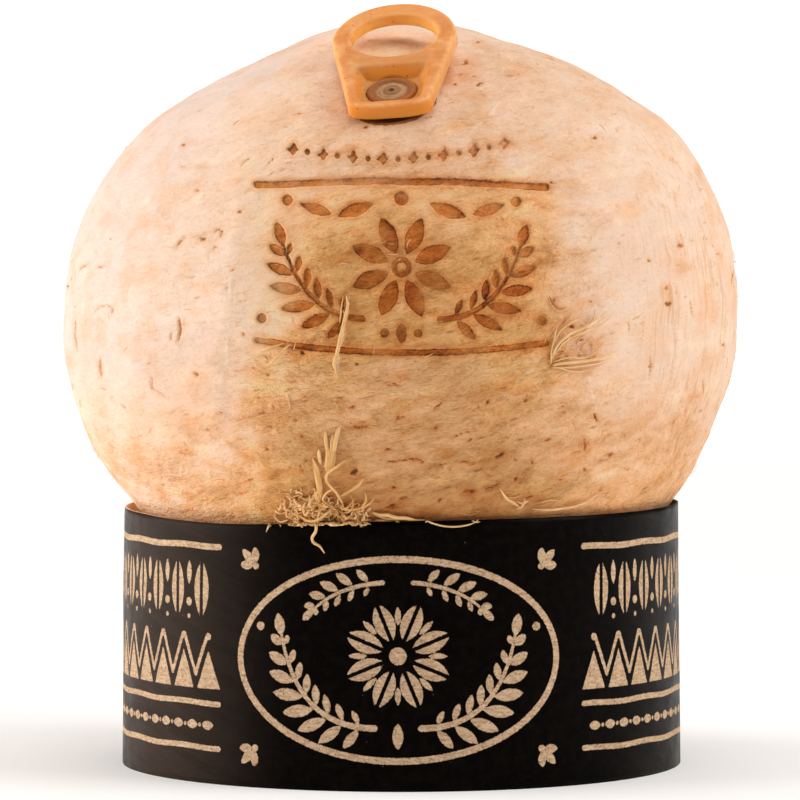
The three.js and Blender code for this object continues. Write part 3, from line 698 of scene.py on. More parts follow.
def husk():
    # rows by length along the profile from the bottom's middle
    zt = np.concatenate([np.linspace(0, 120, 4001), np.linspace(120, 132.8, 6001)[1:]])
    rt = mean_r(zt)
    S = np.concatenate([[0], np.cumsum(np.hypot(np.diff(zt), np.diff(rt)))]) + 26.2
    total = S[-1]
    rows, s = [], 3.0
    while s < total - 0.35:
        rows.append(s)
        zz = np.interp(s, S, zt) if s > 26.2 else 0
        s += 2.6 if zz < 36 else 1.3 if zz < 42 else 0.62
    # density round: finer on the front
    ph = np.linspace(-np.pi, np.pi, 2881)
    away = np.abs((ph + np.pi / 2 + np.pi) % (2 * np.pi) - np.pi)
    dens = 1 / (1 + 0.42 * smooth(rad(82), rad(105), away))
    C = np.concatenate([[0], np.cumsum((dens[1:] + dens[:-1]) / 2 * np.diff(ph))])
    V, F, prev = [[0, 0, 0]], [], None
    for j, s in enumerate(rows):
        flat = s < 26.2
        zz = 0.0 if flat else float(np.interp(s, S, zt))
        rm = s if flat else float(mean_r(zz))
        step = 2.6 if zz < 36 else 1.3 if zz < 42 else 0.62
        n = max(8, int(round(rm * C[-1] / step)))
        t = (np.arange(n) + 0.5 * (j % 2)) / n
        p = np.interp(t * C[-1], C, ph)
        r = husk_r(zz, p) * (s / 26.2 if flat else 1)
        i0 = len(V)
        V.extend(np.c_[r * np.cos(p), r * np.sin(p), np.full(n, zz)].tolist())
        ids = np.arange(i0, i0 + n)
        if prev is None:
            F.append(np.c_[np.zeros(n, int), np.roll(ids, -1), ids])
        else:
            F.append(zipper(prev[0], prev[1], ids, t))
        prev = (ids, t)
    top = len(V)
    V.append([0, 0, 132.8])
    F.append(np.c_[prev[0], np.roll(prev[0], -1), np.full(len(prev[0]), top)])
    V, F = np.array(V, float), np.vstack(F)
    # finer where the front carries fine marks
    N = husk_base_normals(V)
    px, py = to_px(V)
    front = N @ -FWD > 0.05
    f = husk_fields(V, N)
    a, s_, u_ = opener_local(V)
    ro = np.hypot(a, s_ - WELL_S)
    want = front & ((np.abs(f["ink"]) < 1.0) | (f["ink"] < 0) | (f["mark"] > 0.02) | (f["pale"] > 0.02))
    want |= (np.abs(ro - WELL_R) < 1.3) & (u_ > -5)
    sel = want[F].any(1)
    V, F = refine(V, F, sel)
    N = husk_base_normals(V)
    f = husk_fields(V, N, tones=True)
    a, s_, u_ = opener_local(V)
    ro = np.hypot(a, s_ - WELL_S)
    fade = np.where(u_ > -6, smooth(9.5, 15, ro), 1)
    W = V + N * (f["d"] * fade)[:, None]
    W[:, 2] = np.where(V[:, 2] < 0.02, 0, np.maximum(W[:, 2], 0))
    W = seat_cut(W)
    # the drilled well
    a, s_, u_ = opener_local(W)
    ro = np.hypot(a, s_ - WELL_S)
    bad = (ro < WELL_R + 0.12) & (u_ > -6)
    keep = ~bad[F].any(1)
    F = F[keep]
    e = np.vstack([F[:, [0, 1]], F[:, [1, 2]], F[:, [2, 0]]])
    key = e[:, 0].astype(np.int64) * len(W) + e[:, 1]
    rev = e[:, 1].astype(np.int64) * len(W) + e[:, 0]
    edge = e[~np.isin(key, rev)]
    nxt = dict(edge.tolist())
    start = edge[0, 0]
    loop, c = [start], nxt[start]
    while c != start:
        loop.append(c)
        c = nxt[c]
    loop = np.array(loop)
    ang = np.unwrap(np.arctan2(s_[loop] - WELL_S, a[loop]))
    flip = ang[-1] > ang[0]
    if not flip:
        loop, ang = loop[::-1], ang[::-1]
    ang = np.maximum.accumulate(ang)
    tl = (ang - ang[0]) / (2 * np.pi)
    nr = 160
    tr = np.arange(nr) / nr
    fields = {k: v for k, v in f.items() if k != "d"}
    profile = [(WELL_R + 0.10, SEAT), (WELL_R + 0.02, SEAT - 0.05), (WELL_R, SEAT - 0.16), (WELL_R, -2.4),
               (WELL_R, WELL_FLOOR + 0.3), (WELL_R - 0.3, WELL_FLOOR), (5.0, WELL_FLOOR), (2.0, WELL_FLOOR)]
    prev_ids, prev_t = loop, tl
    allV, allF = [W], [F]
    base = len(W)
    rnd = fbm(np.c_[np.cos(ang[0] + tr * 2 * np.pi) * 3, np.sin(ang[0] + tr * 2 * np.pi) * 3, tr * 0], 3, 3)
    for (r, u) in profile:
        t = ang[0] + tr * 2 * np.pi
        rr = r + (0.05 * rnd if r > 8 else 0)
        P = from_opener(rr * np.cos(t), rr * np.sin(t) + WELL_S, np.full(nr, u))
        ids = np.arange(base, base + nr)
        allV.append(P)
        z = zipper(prev_ids, prev_t, ids, tr, flip=flip)
        allF.append(z)
        prev_ids, prev_t = ids, tr
        base += nr
    allV.append(from_opener([0.0], [WELL_S], [WELL_FLOOR]))
    fan = np.c_[prev_ids, np.roll(prev_ids, -1), np.full(nr, base)]
    allF.append(fan[:, ::-1] if flip else fan)
    V2, F2 = np.vstack(allV), np.vstack(allF)
    extra = len(V2) - len(W)
    # the well's walls and floor are tinted a dark red-brown: painted shade inside the drilled well
    well_fields_and_painted_shade = {"ink": 3.0, "warm": 1.0, "tint": np.tile([.26, .085, .026], (extra, 1))}
    fields = {k: np.concatenate([v, well_fields_and_painted_shade.get(k) if k == "tint" else np.full(extra, well_fields_and_painted_shade.get(k, 0.0))]) for k, v in fields.items()}
    used = np.unique(F2)
    remap = np.full(len(V2), -1)
    remap[used] = np.arange(len(used))
    return V2[used], remap[F2], {k: v[used] for k, v in fields.items()}


# ------------------------------------------------------------------ materials
def srgb(r, g, b):
    return tuple(((c / 255 + 0.055) / 1.055) ** 2.4 if c > 10.3 else c / 255 / 12.92 for c in (r, g, b)) + (1.0,)


class Mat:
    """A small writer of node materials."""

    def __init__(self, name):
        self.m = bpy.data.materials.new(name)
        self.m.use_nodes = True
        self.t = self.m.node_tree
        self.t.nodes.clear()
        out = self.t.nodes.new("ShaderNodeOutputMaterial")
        self.p = self.t.nodes.new("ShaderNodeBsdfPrincipled")
        self.t.links.new(self.p.outputs[0], out.inputs[0])

    def put(self, sock, v):
        if isinstance(v, bpy.types.NodeSocket):
            self.t.links.new(v, sock)
        elif v is not None:
            sock.default_value = v

    def node(self, kind, ins=(), out=0, **props):
        n = self.t.nodes.new("ShaderNode" + kind)
        for k, v in props.items():
            setattr(n, k, v)
        for k, v in dict(ins).items():
            self.put(n.inputs[k], v)
        return n.outputs[out]

    def coords(self):
        o = self.node("TexCoord", out="Object")
        return self.node("VectorMath", {0: o, 3: 1000.0}, operation="SCALE")

    def turn(self, v, axis, deg):
        return self.node("VectorRotate", {"Vector": v, "Angle": rad(deg)}, rotation_type=axis + "_AXIS")

    def scale(self, v, x, y, z):
        return self.node("VectorMath", {0: v, 1: (x, y, z)}, operation="MULTIPLY")

    def add3(self, a, b):
        return self.node("VectorMath", {0: a, 1: b}, operation="ADD")

    def noise(self, v, scale=1.0, detail=3.0, rough=0.5, dist=0.0, out="Fac"):
        return self.node("TexNoise", {"Vector": v, "Scale": scale, "Detail": detail, "Roughness": rough, "Distortion": dist}, out=out)

    def voronoi(self, v, scale=1.0, rnd=1.0, out="Distance", feature="F1"):
        return self.node("TexVoronoi", {"Vector": v, "Scale": scale, "Randomness": rnd}, out=out, feature=feature)

    def math(self, op, a, b=None, c=None, clamp=False):
        ins = {0: a}
        if b is not None:
            ins[1] = b
        if c is not None:
            ins[2] = c
        return self.node("Math", ins, operation=op, use_clamp=clamp)

    def rng(self, v, a, b, lo=0.0, hi=1.0, smooth=True):
        return self.node("MapRange", {0: v, 1: a, 2: b, 3: lo, 4: hi}, interpolation_type="SMOOTHSTEP" if smooth else "LINEAR")

    def mix(self, f, a, b, blend="MIX"):
        return self.node("Mix", {0: f, 6: a, 7: b}, out=2, data_type="RGBA", blend_type=blend)

    def ramp(self, f, stops):
        n = self.t.nodes.new("ShaderNodeValToRGB")
        self.put(n.inputs[0], f)
        e = n.color_ramp.elements
        while len(e) < len(stops):
            e.new(0.5)
        for el, (p, c) in zip(e, stops):
            el.position, el.color = p, c
        return n.outputs[0]

    def attr(self, name):
        return self.node("Attribute", out="Fac", attribute_name=name, attribute_type="GEOMETRY")

    def sep(self, v, out):
        return self.node("SeparateXYZ", {0: v}, out=out)

    def bump(self, h, dist, strength=1.0, normal=None):
        n = self.t.nodes.new("ShaderNodeBump")
        self.put(n.inputs["Height"], h)
        n.inputs["Distance"].default_value = dist
        n.inputs["Strength"].default_value = strength
        if normal is not None:
            self.put(n.inputs["Normal"], normal)
        return n.outputs[0]


def husk_material():
    k = Mat("husk_shaved")
    co = k.coords()
    slant = k.turn(co, "Y", 13)
    hair = k.noise(k.scale(slant, .36, .36, 1.15), 1, 3, 0.66, 0.7)
    fine = k.noise(k.scale(slant, 1.3, 1.3, 2.7), 1, 2, 0.62)
    mottle = k.noise(k.scale(slant, .34, .34, .52), 1, 4, 0.58, 0.5)
    grain = k.noise(co, 2.3, 2, 0.65)
    tall = k.noise(k.scale(co, .90, .90, .07), 1, 3, 0.6, 0.5)
    hair = k.math("MULTIPLY_ADD", k.attr("upright"), k.math("SUBTRACT", tall, hair), hair)
    warm, ink, mark, pale, smear, ridge = (k.attr(a) for a in ("warm", "ink", "mark", "pale", "smear", "ridge"))
    strong = k.rng(warm, 0.0, 0.85, 0.32, 1.0)

    def tone(col, w, amount, by):
        return k.mix(k.math("MULTIPLY", w, amount), col, by + (1.0,), "MULTIPLY")

    # shaving streaks, short fibres and pores, stronger where the husk is browner
    col = k.node("Attribute", out="Color", attribute_name="tint", attribute_type="GEOMETRY")
    col = tone(col, k.math("MULTIPLY", k.rng(hair, 0.51, 0.70), strong), 0.58, (.76, .60, .43))
    col = tone(col, k.math("MULTIPLY", k.rng(hair, 0.48, 0.30), strong), 0.80, (1.10, 1.13, 1.14))
    col = tone(col, k.math("MULTIPLY", k.rng(mottle, 0.50, 0.64), k.rng(warm, 0.35, 0.85)), 0.80, (.84, .73, .57))
    col = tone(col, k.math("MULTIPLY", k.rng(fine, 0.55, 0.72), strong), 0.52, (.68, .50, .33))
    col = tone(col, k.math("MULTIPLY", k.rng(fine, 0.45, 0.27), strong), 0.85, (1.12, 1.14, 1.13))
    col = tone(col, k.rng(grain, 0.57, 0.76), 0.40, (.80, .66, .52))
    col = tone(col, k.math("MULTIPLY", k.rng(tall, 0.55, 0.68), k.attr("upright")), 0.45, (.94, .78, .62))

    # specks and short dashes, each cell with its own strength
    def specks(col, vec, lo, hi, pick, amount, by):
        v = k.node("TexVoronoi", {"Vector": vec, "Scale": 1.0, "Randomness": 1.0}, out="Distance")
        cell = v.node.outputs["Color"]
        e = k.math("ADD", v, k.math("MULTIPLY", k.math("SUBTRACT", fine, 0.5), 0.16))
        w = k.math("MULTIPLY", k.rng(e, hi, lo), k.rng(k.sep(cell, 0), pick, pick + 0.25))
        return tone(col, k.math("MULTIPLY", w, strong), amount, by)

    col = specks(col, k.scale(slant, .15, .15, .50), 0.04, 0.17, 0.50, 0.85, (.56, .38, .24))
    col = specks(col, k.scale(k.turn(co, "Y", -64), .19, .19, .45), 0.03, 0.14, 0.62, 0.80, (.58, .40, .26))
    # placed marks: stains, crests, raised fibres, slits and pits
    col = tone(col, smear, 0.85, (.86, .62, .38))
    col = tone(col, ridge, 0.45, (1.06, 1.09, 1.12))
    col = k.mix(k.math("MULTIPLY", pale, 0.72), col, srgb(250, 228, 196))
    m = k.math("ADD", mark, k.math("MULTIPLY", k.math("MULTIPLY", k.math("SUBTRACT", fine, 0.5), 0.9), k.rng(mark, 0.02, 0.3)))
    col = tone(col, k.rng(m, 0.04, 0.42), 0.90, (.82, .56, .30))
    slit = k.mix(k.rng(warm, 0.15, 0.65), srgb(150, 98, 50), srgb(92, 48, 18))
    col = k.mix(k.math("MULTIPLY", k.rng(m, 0.32, 0.76), 0.90), col, slit)
    # burnt ornament: the scorch darkens the husk's own grain
    edge = k.math("ADD", ink, k.math("MULTIPLY", k.math("SUBTRACT", grain, 0.5), 0.38))
    edge = k.math("ADD", edge, k.math("MULTIPLY", k.math("SUBTRACT", hair, 0.5), 0.30))
    inside = k.rng(edge, 0.10, -0.12)
    scorch = k.rng(k.noise(co, 0.24, 4, 0.72), 0.34, 0.70, smooth=False)
    heat = k.math("ADD", k.math("MULTIPLY", scorch, 0.55), k.math("MULTIPLY", fine, 0.45))
    # darker towards the edges of the marks: partly scorch, partly a painted shade in the pressed-in edges
    heat = k.math("ADD", heat, k.math("MULTIPLY", k.rng(edge, -0.34, -0.04), 0.42))
    burn = k.ramp(k.rng(heat, 0.22, 1.02, smooth=False), [
        (0.0, srgb(242, 216, 160)), (0.28, srgb(230, 192, 118)), (0.52, srgb(208, 158, 80)), (0.74, srgb(156, 105, 42)), (1.0, srgb(72, 42, 18))])
    faded = k.rng(k.noise(co, 0.16, 2, 0.6), 0.36, 0.56, 0.55, 1.0)
    col = k.mix(k.rng(ink, 1.3, 0.05, 0, 0.60), col, srgb(244, 214, 170), "MULTIPLY")
    col = k.mix(k.math("MULTIPLY", inside, faded), col, burn, "MULTIPLY")
    k.put(k.p.inputs["Base Color"], col)
    k.put(k.p.inputs["Roughness"], k.rng(hair, 0.3, 0.7, 0.58, 0.78))
    k.p.inputs["Specular IOR Level"].default_value = 0.30
    h = k.math("ADD", k.math("MULTIPLY", hair, 0.8), k.math("MULTIPLY", fine, 0.45))
    h = k.math("ADD", h, k.math("MULTIPLY", grain, 0.22))
    h = k.math("MULTIPLY", k.math("SUBTRACT", h, 0.7), k.rng(warm, 0.25, 0.85, 0.26, 1.0))
    k.put(k.p.inputs["Normal"], k.bump(h, 0.00078, 1.0))
    return k.m


def card_material():
    k = Mat("kraft_card_printed_black")
    co = k.coords()
    ink = k.attr("ink")
    edge = k.math("MULTIPLY", k.attr("cut"), k.rng(k.math("ABSOLUTE", k.sep(co, 0)), 49, 43, 0.22, 1.0))
    grain = k.noise(co, 3.4, 2, 0.7)
    fibre = k.noise(k.scale(co, .7, .7, 2.6), 1, 3, 0.7, 0.4)
    spots = k.noise(co, 1.7, 3, 0.75)
    kraft = k.ramp(k.rng(fibre, 0.3, 0.7, smooth=False), [(0.0, srgb(166, 134, 104)), (0.45, srgb(202, 168, 134)), (1.0, srgb(224, 194, 162))])
    kraft = k.mix(k.rng(spots, 0.54, 0.66, 0, 0.60), kraft, srgb(138, 104, 76))
    kraft = k.mix(k.rng(grain, 0.56, 0.72, 0, 0.65), kraft, srgb(104, 74, 52))
    kraft = k.mix(k.rng(grain, 0.44, 0.30, 0, 0.35), kraft, srgb(236, 212, 184))
    black = k.mix(k.rng(k.noise(co, 0.6, 3, 0.6), 0.4, 0.7, 0, 1), srgb(3, 2, 2), srgb(10, 7, 5))
    # the print is painted a dusty brown round the left side, in slanting streaks: partly scuffs and partly a painted
    # sheen of the left light
    x = k.sep(co, 0)
    scuff = k.noise(k.scale(k.turn(co, "Y", -24), .05, .05, .5), 1, 4, 0.65)
    left_sheen_and_scuff = k.math("MULTIPLY", k.rng(x, -18, -47), k.rng(scuff, 0.30, 0.66, 0.66, 1.0))
    left_sheen_and_scuff = k.math("MULTIPLY", left_sheen_and_scuff, k.rng(k.sep(co, 1), 14, -12))
    black = k.mix(left_sheen_and_scuff, black, srgb(60, 47, 38))
    # a fainter painted sheen with scuffs round the right side
    black = k.mix(k.math("MULTIPLY", k.rng(x, 34, 50), k.rng(scuff, 0.4, 0.66, 0.3, 1.0)), black, srgb(30, 24, 19))
    e = k.math("ADD", ink, k.math("MULTIPLY", k.math("SUBTRACT", grain, 0.5), 0.22))
    e = k.math("ADD", e, k.math("MULTIPLY", k.math("SUBTRACT", spots, 0.5), 0.16))
    bare = k.rng(e, 0.055, -0.055)
    bare = k.math("MAXIMUM", bare, edge)
    flaw = k.math("MULTIPLY", k.rng(k.noise(co, 1.1, 3, 0.75), 0.735, 0.77), 0.7)
    bare = k.math("MAXIMUM", bare, flaw)
    k.put(k.p.inputs["Base Color"], k.mix(bare, black, kraft))
    r = k.math("ADD", k.rng(k.noise(co, 0.25, 3, 0.6), 0.3, 0.7, 0.30, 0.42), k.math("MULTIPLY", bare, 0.35))
    k.put(k.p.inputs["Roughness"], r)
    k.p.inputs["Specular IOR Level"].default_value = 0.035
    k.p.inputs["Specular Tint"].default_value = (1.0, 0.84, 0.72, 1)
    h = k.math("ADD", k.math("MULTIPLY", fibre, 0.6), k.math("MULTIPLY", grain, 0.35))
    k.put(k.p.inputs["Normal"], k.bump(h, 0.00009, 0.8))
    return k.m


def amber_material():
    k = Mat("amber_moulded_plastic")
    co = k.coords()
    cloud = k.noise(co, 0.24, 3, 0.6)
    wisp = k.noise(k.scale(k.turn(co, "X", 32), .35, 1.1, .35), 1, 3, 0.6, 0.4)
    grain = k.noise(co, 2.6, 2, 0.6)
    col = k.ramp(k.rng(cloud, 0.32, 0.68, smooth=False), [(0.0, srgb(212, 128, 56)), (0.5, srgb(222, 144, 72)), (1.0, srgb(232, 166, 102))])
    col = k.mix(k.rng(wisp, 0.46, 0.64, 0, 0.65), col, srgb(220, 134, 40))
    deep, painted_rim_highlight = k.attr("deep"), k.attr("painted_rim_highlight")
    # the rounded edges are painted paler: a painted rim highlight
    col = k.mix(k.math("MULTIPLY", painted_rim_highlight, k.rng(wisp, 0.35, 0.6, 0.55, 0.25)), col, srgb(246, 198, 138))
    col = k.mix(k.math("MULTIPLY", k.attr("lit"), k.rng(wisp, 0.35, 0.62, 0.98, 0.72)), col, srgb(255, 196, 98))
    col = k.mix(k.math("MULTIPLY", k.attr("web"), 0.60), col, srgb(206, 134, 66))
    col = k.mix(k.math("MULTIPLY", k.attr("far"), 0.50), col, srgb(236, 162, 84))
    col = k.mix(k.math("MULTIPLY", deep, 0.88), col, srgb(226, 140, 38))
    v = k.voronoi(co, 0.95)
    w = k.math("MULTIPLY", k.rng(v, 0.24, 0.08), k.rng(k.sep(v.node.outputs["Color"], 0), 0.42, 0.72))
    w = k.math("MULTIPLY", w, k.rng(k.noise(co, 0.3, 1), 0.38, 0.58))
    col = k.mix(k.math("MULTIPLY", w, 0.72), col, srgb(150, 80, 22))
    k.put(k.p.inputs["Base Color"], col)
    k.put(k.p.inputs["Roughness"], k.rng(grain, 0.3, 0.7, 0.40, 0.52))
    k.p.inputs["Specular IOR Level"].default_value = 0.32
    k.p.inputs["Subsurface Weight"].default_value = 0.50
    k.p.inputs["Subsurface Radius"].default_value = (1.0, 0.55, 0.18)
    k.p.inputs["Subsurface Scale"].default_value = 0.0026
    k.put(k.p.inputs["Normal"], k.bump(k.math("ADD", k.math("MULTIPLY", wisp, 0.6), k.math("MULTIPLY", grain, 0.25)), 0.00010, 0.7))
    return k.m


def plug_material():
    k = Mat("cloudy_plug_plastic")
    co = k.coords()
    r = k.attr("radius")
    n = k.math("MULTIPLY", k.math("SUBTRACT", k.noise(co, 0.5, 4, 0.65), 0.5), 0.9)
    q = k.math("ADD", r, n)
    col = k.ramp(k.math("DIVIDE", q, 5.0), [
        (0.0, srgb(78, 48, 26)), (0.10, srgb(104, 68, 38)), (0.17, srgb(168, 122, 78)), (0.27, srgb(156, 108, 66)),
        (0.36, srgb(186, 140, 94)), (0.46, srgb(192, 146, 98)), (0.56, srgb(158, 100, 54)), (0.70, srgb(152, 90, 42)), (0.85, srgb(184, 114, 50)), (1.0, srgb(206, 130, 54))])
    col = k.mix(k.rng(k.noise(k.scale(co, 1, 1, 1), 1.3, 3, 0.7), 0.50, 0.68, 0, 0.5), col, srgb(120, 74, 44))
    k.put(k.p.inputs["Base Color"], col)
    k.put(k.p.inputs["Roughness"], k.rng(k.noise(co, 1.0, 2), 0.3, 0.7, 0.42, 0.62))
    k.p.inputs["Specular IOR Level"].default_value = 0.22
    k.p.inputs["Subsurface Weight"].default_value = 0.25
    k.p.inputs["Subsurface Radius"].default_value = (1.0, 0.5, 0.2)
    k.p.inputs["Subsurface Scale"].default_value = 0.0015
    k.put(k.p.inputs["Normal"], k.bump(k.noise(co, 1.4, 4, 0.6), 0.00012, 0.7))
    return k.m


def fibre_material():
    k = Mat("dry_husk_fibre")
    co = k.coords()
    tone = k.attr("tone")
    # the grain attribute holds each strand's own width and length, so the streaks run along it
    own = k.node("Attribute", out="Vector", attribute_name="grain", attribute_type="GEOMETRY")
    streak = k.noise(k.scale(own, 5.0, .35, 1.0), 1, 2, 0.6)
    n = k.noise(co, 0.6, 2, 0.6)
    f = k.math("ADD", k.math("MULTIPLY", n, 0.30), k.math("MULTIPLY", tone, 0.62))
    f = k.math("ADD", f, k.rng(streak, 0.3, 0.7, -0.20, 0.20, smooth=False))
    col = k.ramp(f, [(0.0, srgb(150, 94, 44)), (0.30, srgb(208, 144, 78)), (0.58, srgb(234, 182, 114)), (0.82, srgb(246, 206, 150)), (1.0, srgb(252, 227, 188))])
    k.put(k.p.inputs["Base Color"], col)
    k.p.inputs["Roughness"].default_value = 0.62
    k.p.inputs["Specular IOR Level"].default_value = 0.3
    k.put(k.p.inputs["Normal"], k.bump(streak, 0.00012, 0.8))
    return k.m


HUSK_MAT, CARD_MAT, AMBER_MAT, PLUG_MAT, FIBRE_MAT = husk_material(), card_material(), amber_material(), plug_material(), fibre_material()

hv, hf, hattr = husk()
fruit = mesh_object("husk_body", hv, hf, [HUSK_MAT], "fruit", hattr)
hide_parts("coconut")
print("HUSK tris", len(hf), "verts", len(hv))
#MORE


# ------------------------------------------------------------------ card sleeve
SR_TOP, SR_LOW, ST, SH = 49.65, 50.1, 0.45, 46.15
LAP = 14 / SR_LOW


def sleeve_h(phi):
    d = (phi + rad(128) + np.pi) % (2 * np.pi) - np.pi
    return SH + 0.4 * np.cos(phi) - 0.9 * np.exp(-(d / rad(24)) ** 2)


def printed_band(U, Z):
    """Signed distance to the bare kraft, from millimetres round (0 at the front) and up."""
    k = Ink(U, Z)
    # middle: an oval of leaves round a rosette
    cx, cz = -0.6, 22.4
    k.ellipse(cx, cz, 28.6, 17.2, 1.15)
    rosette(k, cx, cz + 0.7, 2.6, 9.6, 3.5, 8, rad(22.5), 0.7)
    rosette(k, cx, cz + 0.7, 5.2, 8.5, 1.0, 8, 0.0)
    k.disc(cx, cz + 0.7, 1.5)
    for sg in (-1, 1):
        frond(k, [(cx + sg * 4.0, cz - 11.6), (cx + sg * 17.6, cz - 11.6), (cx + sg * 20.6, cz + 4.2)], 5.7, 2.1, 8, 1.1, vein=0.0)
        frond(k, [(cx + sg * 2.6, cz + 13.2), (cx + sg * 10.5, cz + 12.6), (cx + sg * 15.0, cz + 8.2)], 3.6, 1.5, 5, 0.8)
        k.disc(cx + sg * 24.6, cz + 5.4, 0.75)
        for q in (-1, 1):
            x0, y0 = cx + sg * 25.6, cz + q * 15.6
            for a, L in ((0, 5.4), (42, 4.2), (-42, 4.2)):
                b = math.atan2(-q, -sg) + rad(a)
                k.leaf(x0 - 0.6 * math.cos(b), y0 - 0.6 * math.sin(b), x0 - 0.6 * math.cos(b) - L * 0.62 * math.cos(b), y0 - 0.6 * math.sin(b) - L * 0.62 * math.sin(b), 1.5)
            k.disc(x0, y0, 0.6)
    k.leaf(cx, cz - 15.2, cx, cz - 10.8, 1.9)
    # panels right and left of it, all the way round to the lap
    for sg in (-1, 1):
        a, b = sg * 34.0, sg * 141.0
        for zz, w in ((41.0, 1.05), (13.9, 0.95), (6.2, 0.95)):
            pts = np.linspace(a, b, 60)
            k.line(np.c_[pts, zz + 0.12 * np.sin(pts * 0.4)], w)
        n = 17
        for i in range(n):
            x = sg * (38.2 + i * 6.35)
            k.leaf(x, 28.4, x, 38.6, 3.5, 0.8)
            if i < n - 1:
                xm = x + sg * 3.175
                k.leaf(xm, 34.2, xm, 38.4, 1.25)
                k.disc(xm, 31.2, 0.72)
                k.disc(xm, 28.7, 0.42)
        n = 34
        for i in range(n):
            x = sg * (36.4 + i * 3.16)
            z0, z1 = (16.4, 25.6)
            if i % 2 == 0:
                k.poly([(x - 2.7, z0), (x + 2.7, z0), (x, z0 + 6.6)])
                k.disc(x, z1 - 0.2, 0.62)
            else:
                k.line([(x - 2.9, z1), (x, z0 + 2.4), (x + 2.9, z1)], 0.72)
        n = 28
        for i in range(n):
            x = sg * (36.6 + i * 3.8)
            k.leaf(x - 1.35, 10.05, x + 1.35, 10.05, 1.55)
            k.disc(x + sg * 1.9, 10.05, 0.36)
    return k.d


def sleeve_mesh():
    """One strip of card bent round, its outer end lapped over its inner end at the back."""
    seam = rad(90)
    a0, a1 = seam - LAP / 2, seam + 2 * math.pi + LAP / 2  # the strip runs from under the lap, all the way round, to its own top layer
    step = 0.92
    nu = int(round((a1 - a0) * SR_LOW / step))
    nz = int(round(SH / step))
    A, T = np.meshgrid(np.linspace(a0, a1, nu + 1), np.linspace(0, 1, nz + 1), indexing="ij")

    def place(A, T, inner):
        phi = (A + np.pi) % (2 * np.pi) - np.pi
        h = sleeve_h(phi)
        z = T * h
        r = SR_LOW + (SR_TOP - SR_LOW) * z / SH
        r = r + (ST + 0.03) * smooth(a1 - LAP - 0.055, a1 - LAP + 0.01, A)
        p = np.c_[np.cos(A) * 3.2, np.sin(A) * 3.2, z / 24]
        near = smooth(0.0, 0.10, a1 - LAP - 0.06 - A)
        wav = (0.17 * fbm(p, 2, 81) + 0.05 * fbm(np.c_[np.cos(A) * 11, np.sin(A) * 11, z / 7], 2, 83)) * (0.35 + 0.65 * smooth(0, 12, z)) * near * smooth(a0 + 0.0, a0 + 0.3, A)
        U = (A - rad(270)) * 50
        for (u0, z0, u1, z1, h0, w) in CREASES:
            g = np.array([u1 - u0, z1 - z0])
            L = math.hypot(*g)
            s = np.clip(((U - u0) * g[0] + (z - z0) * g[1]) / L / L, 0, 1)
            e = np.hypot(U - u0 - s * g[0], z - z0 - s * g[1])
            wav = wav + h0 * np.exp(-(e / w) ** 2) * np.sin(np.pi * np.clip(s, 0.08, 0.92))
        wav = wav + 0.16 * smooth(SH - 2.2, SH, z) * vnoise(np.c_[np.cos(A) * 9, np.sin(A) * 9, A * 0], 87) * near
        r = r + wav - (ST if inner else 0)
        return np.c_[r * np.cos(A), r * np.sin(A), z]

    A, T = A.ravel(), T.ravel()
    idx = np.arange((nu + 1) * (nz + 1)).reshape(nu + 1, nz + 1)
    q0, q1, q2, q3 = idx[:-1, :-1].ravel(), idx[1:, :-1].ravel(), idx[1:, 1:].ravel(), idx[:-1, 1:].ravel()
    par = (np.add.outer(np.arange(nu), np.arange(nz)) % 2).ravel() == 0
    F = np.vstack([np.c_[q0, q1, q2][par], np.c_[q0, q2, q3][par], np.c_[q0, q1, q3][~par], np.c_[q1, q2, q3][~par]])
    V = np.c_[A, T]
    rim = np.zeros(len(V), bool)
    rim[idx[0]] = rim[idx[-1]] = True
    rim[idx[:, 0]] = rim[idx[:, -1]] = True

    def dist(V):
        return printed_band((V[:, 0] - rad(270)) * 50, V[:, 1] * sleeve_h((V[:, 0] + np.pi) % (2 * np.pi) - np.pi))

    for lim, reach in ((0.90, 200), (0.32, 66)):
        d = dist(V)
        u = np.abs((V[:, 0] - rad(270)) * 50)
        want = (np.abs(d) < lim) & (u < reach)
        onrim = np.zeros(len(V), bool)
        onrim[:len(rim)] = rim
        sel = want[F].any(1) & ~onrim[F].any(1)
        # a face next to the rim keeps its rim edge whole
        touch = onrim[F].sum(1) >= 1
        V, F = refine(V, F, sel & ~touch)
    outer = place(V[:, 0], V[:, 1], False)
    n0 = len(outer)
    A2, T2 = np.meshgrid(np.linspace(a0, a1, nu + 1), np.linspace(0, 1, 13), indexing="ij")
    inner = place(A2.ravel(), T2.ravel(), True)
    jdx = n0 + np.arange((nu + 1) * 13).reshape(nu + 1, 13)
    qi = np.c_[jdx[:-1, :-1].ravel(), jdx[:-1, 1:].ravel(), jdx[1:, 1:].ravel(), jdx[1:, :-1].ravel()]
    top = np.c_[idx[:-1, -1], idx[1:, -1], jdx[1:, -1], jdx[:-1, -1]]
    low = np.c_[idx[1:, 0], idx[:-1, 0], jdx[:-1, 0], jdx[1:, 0]]

    def end(outer_col, inner_col, flip):
        t1, t2, out, i, j = np.linspace(0, 1, len(outer_col)), np.linspace(0, 1, len(inner_col)), [], 0, 0
        while i < len(outer_col) - 1 or j < len(inner_col) - 1:
            if j >= len(inner_col) - 1 or (i < len(outer_col) - 1 and t1[i + 1] <= t2[j + 1]):
                out.append((outer_col[i], outer_col[i + 1], inner_col[j])); i += 1
            else:
                out.append((outer_col[i], inner_col[j + 1], inner_col[j])); j += 1
        out = np.array(out)
        return out[:, ::-1] if flip else out

    e0 = end(idx[0], jdx[0], False)
    e1 = end(idx[-1], jdx[-1], True)
    VV = np.vstack([outer, inner])
    d = np.concatenate([dist(V), np.full(len(inner), -0.5)])
    faces = [F, qi, top, low, e0, e1]
    fm = np.concatenate([np.full(len(f), m) for f, m in zip(faces, (0, 1, 1, 1, 1, 1))])
    return VV, faces, d, fm


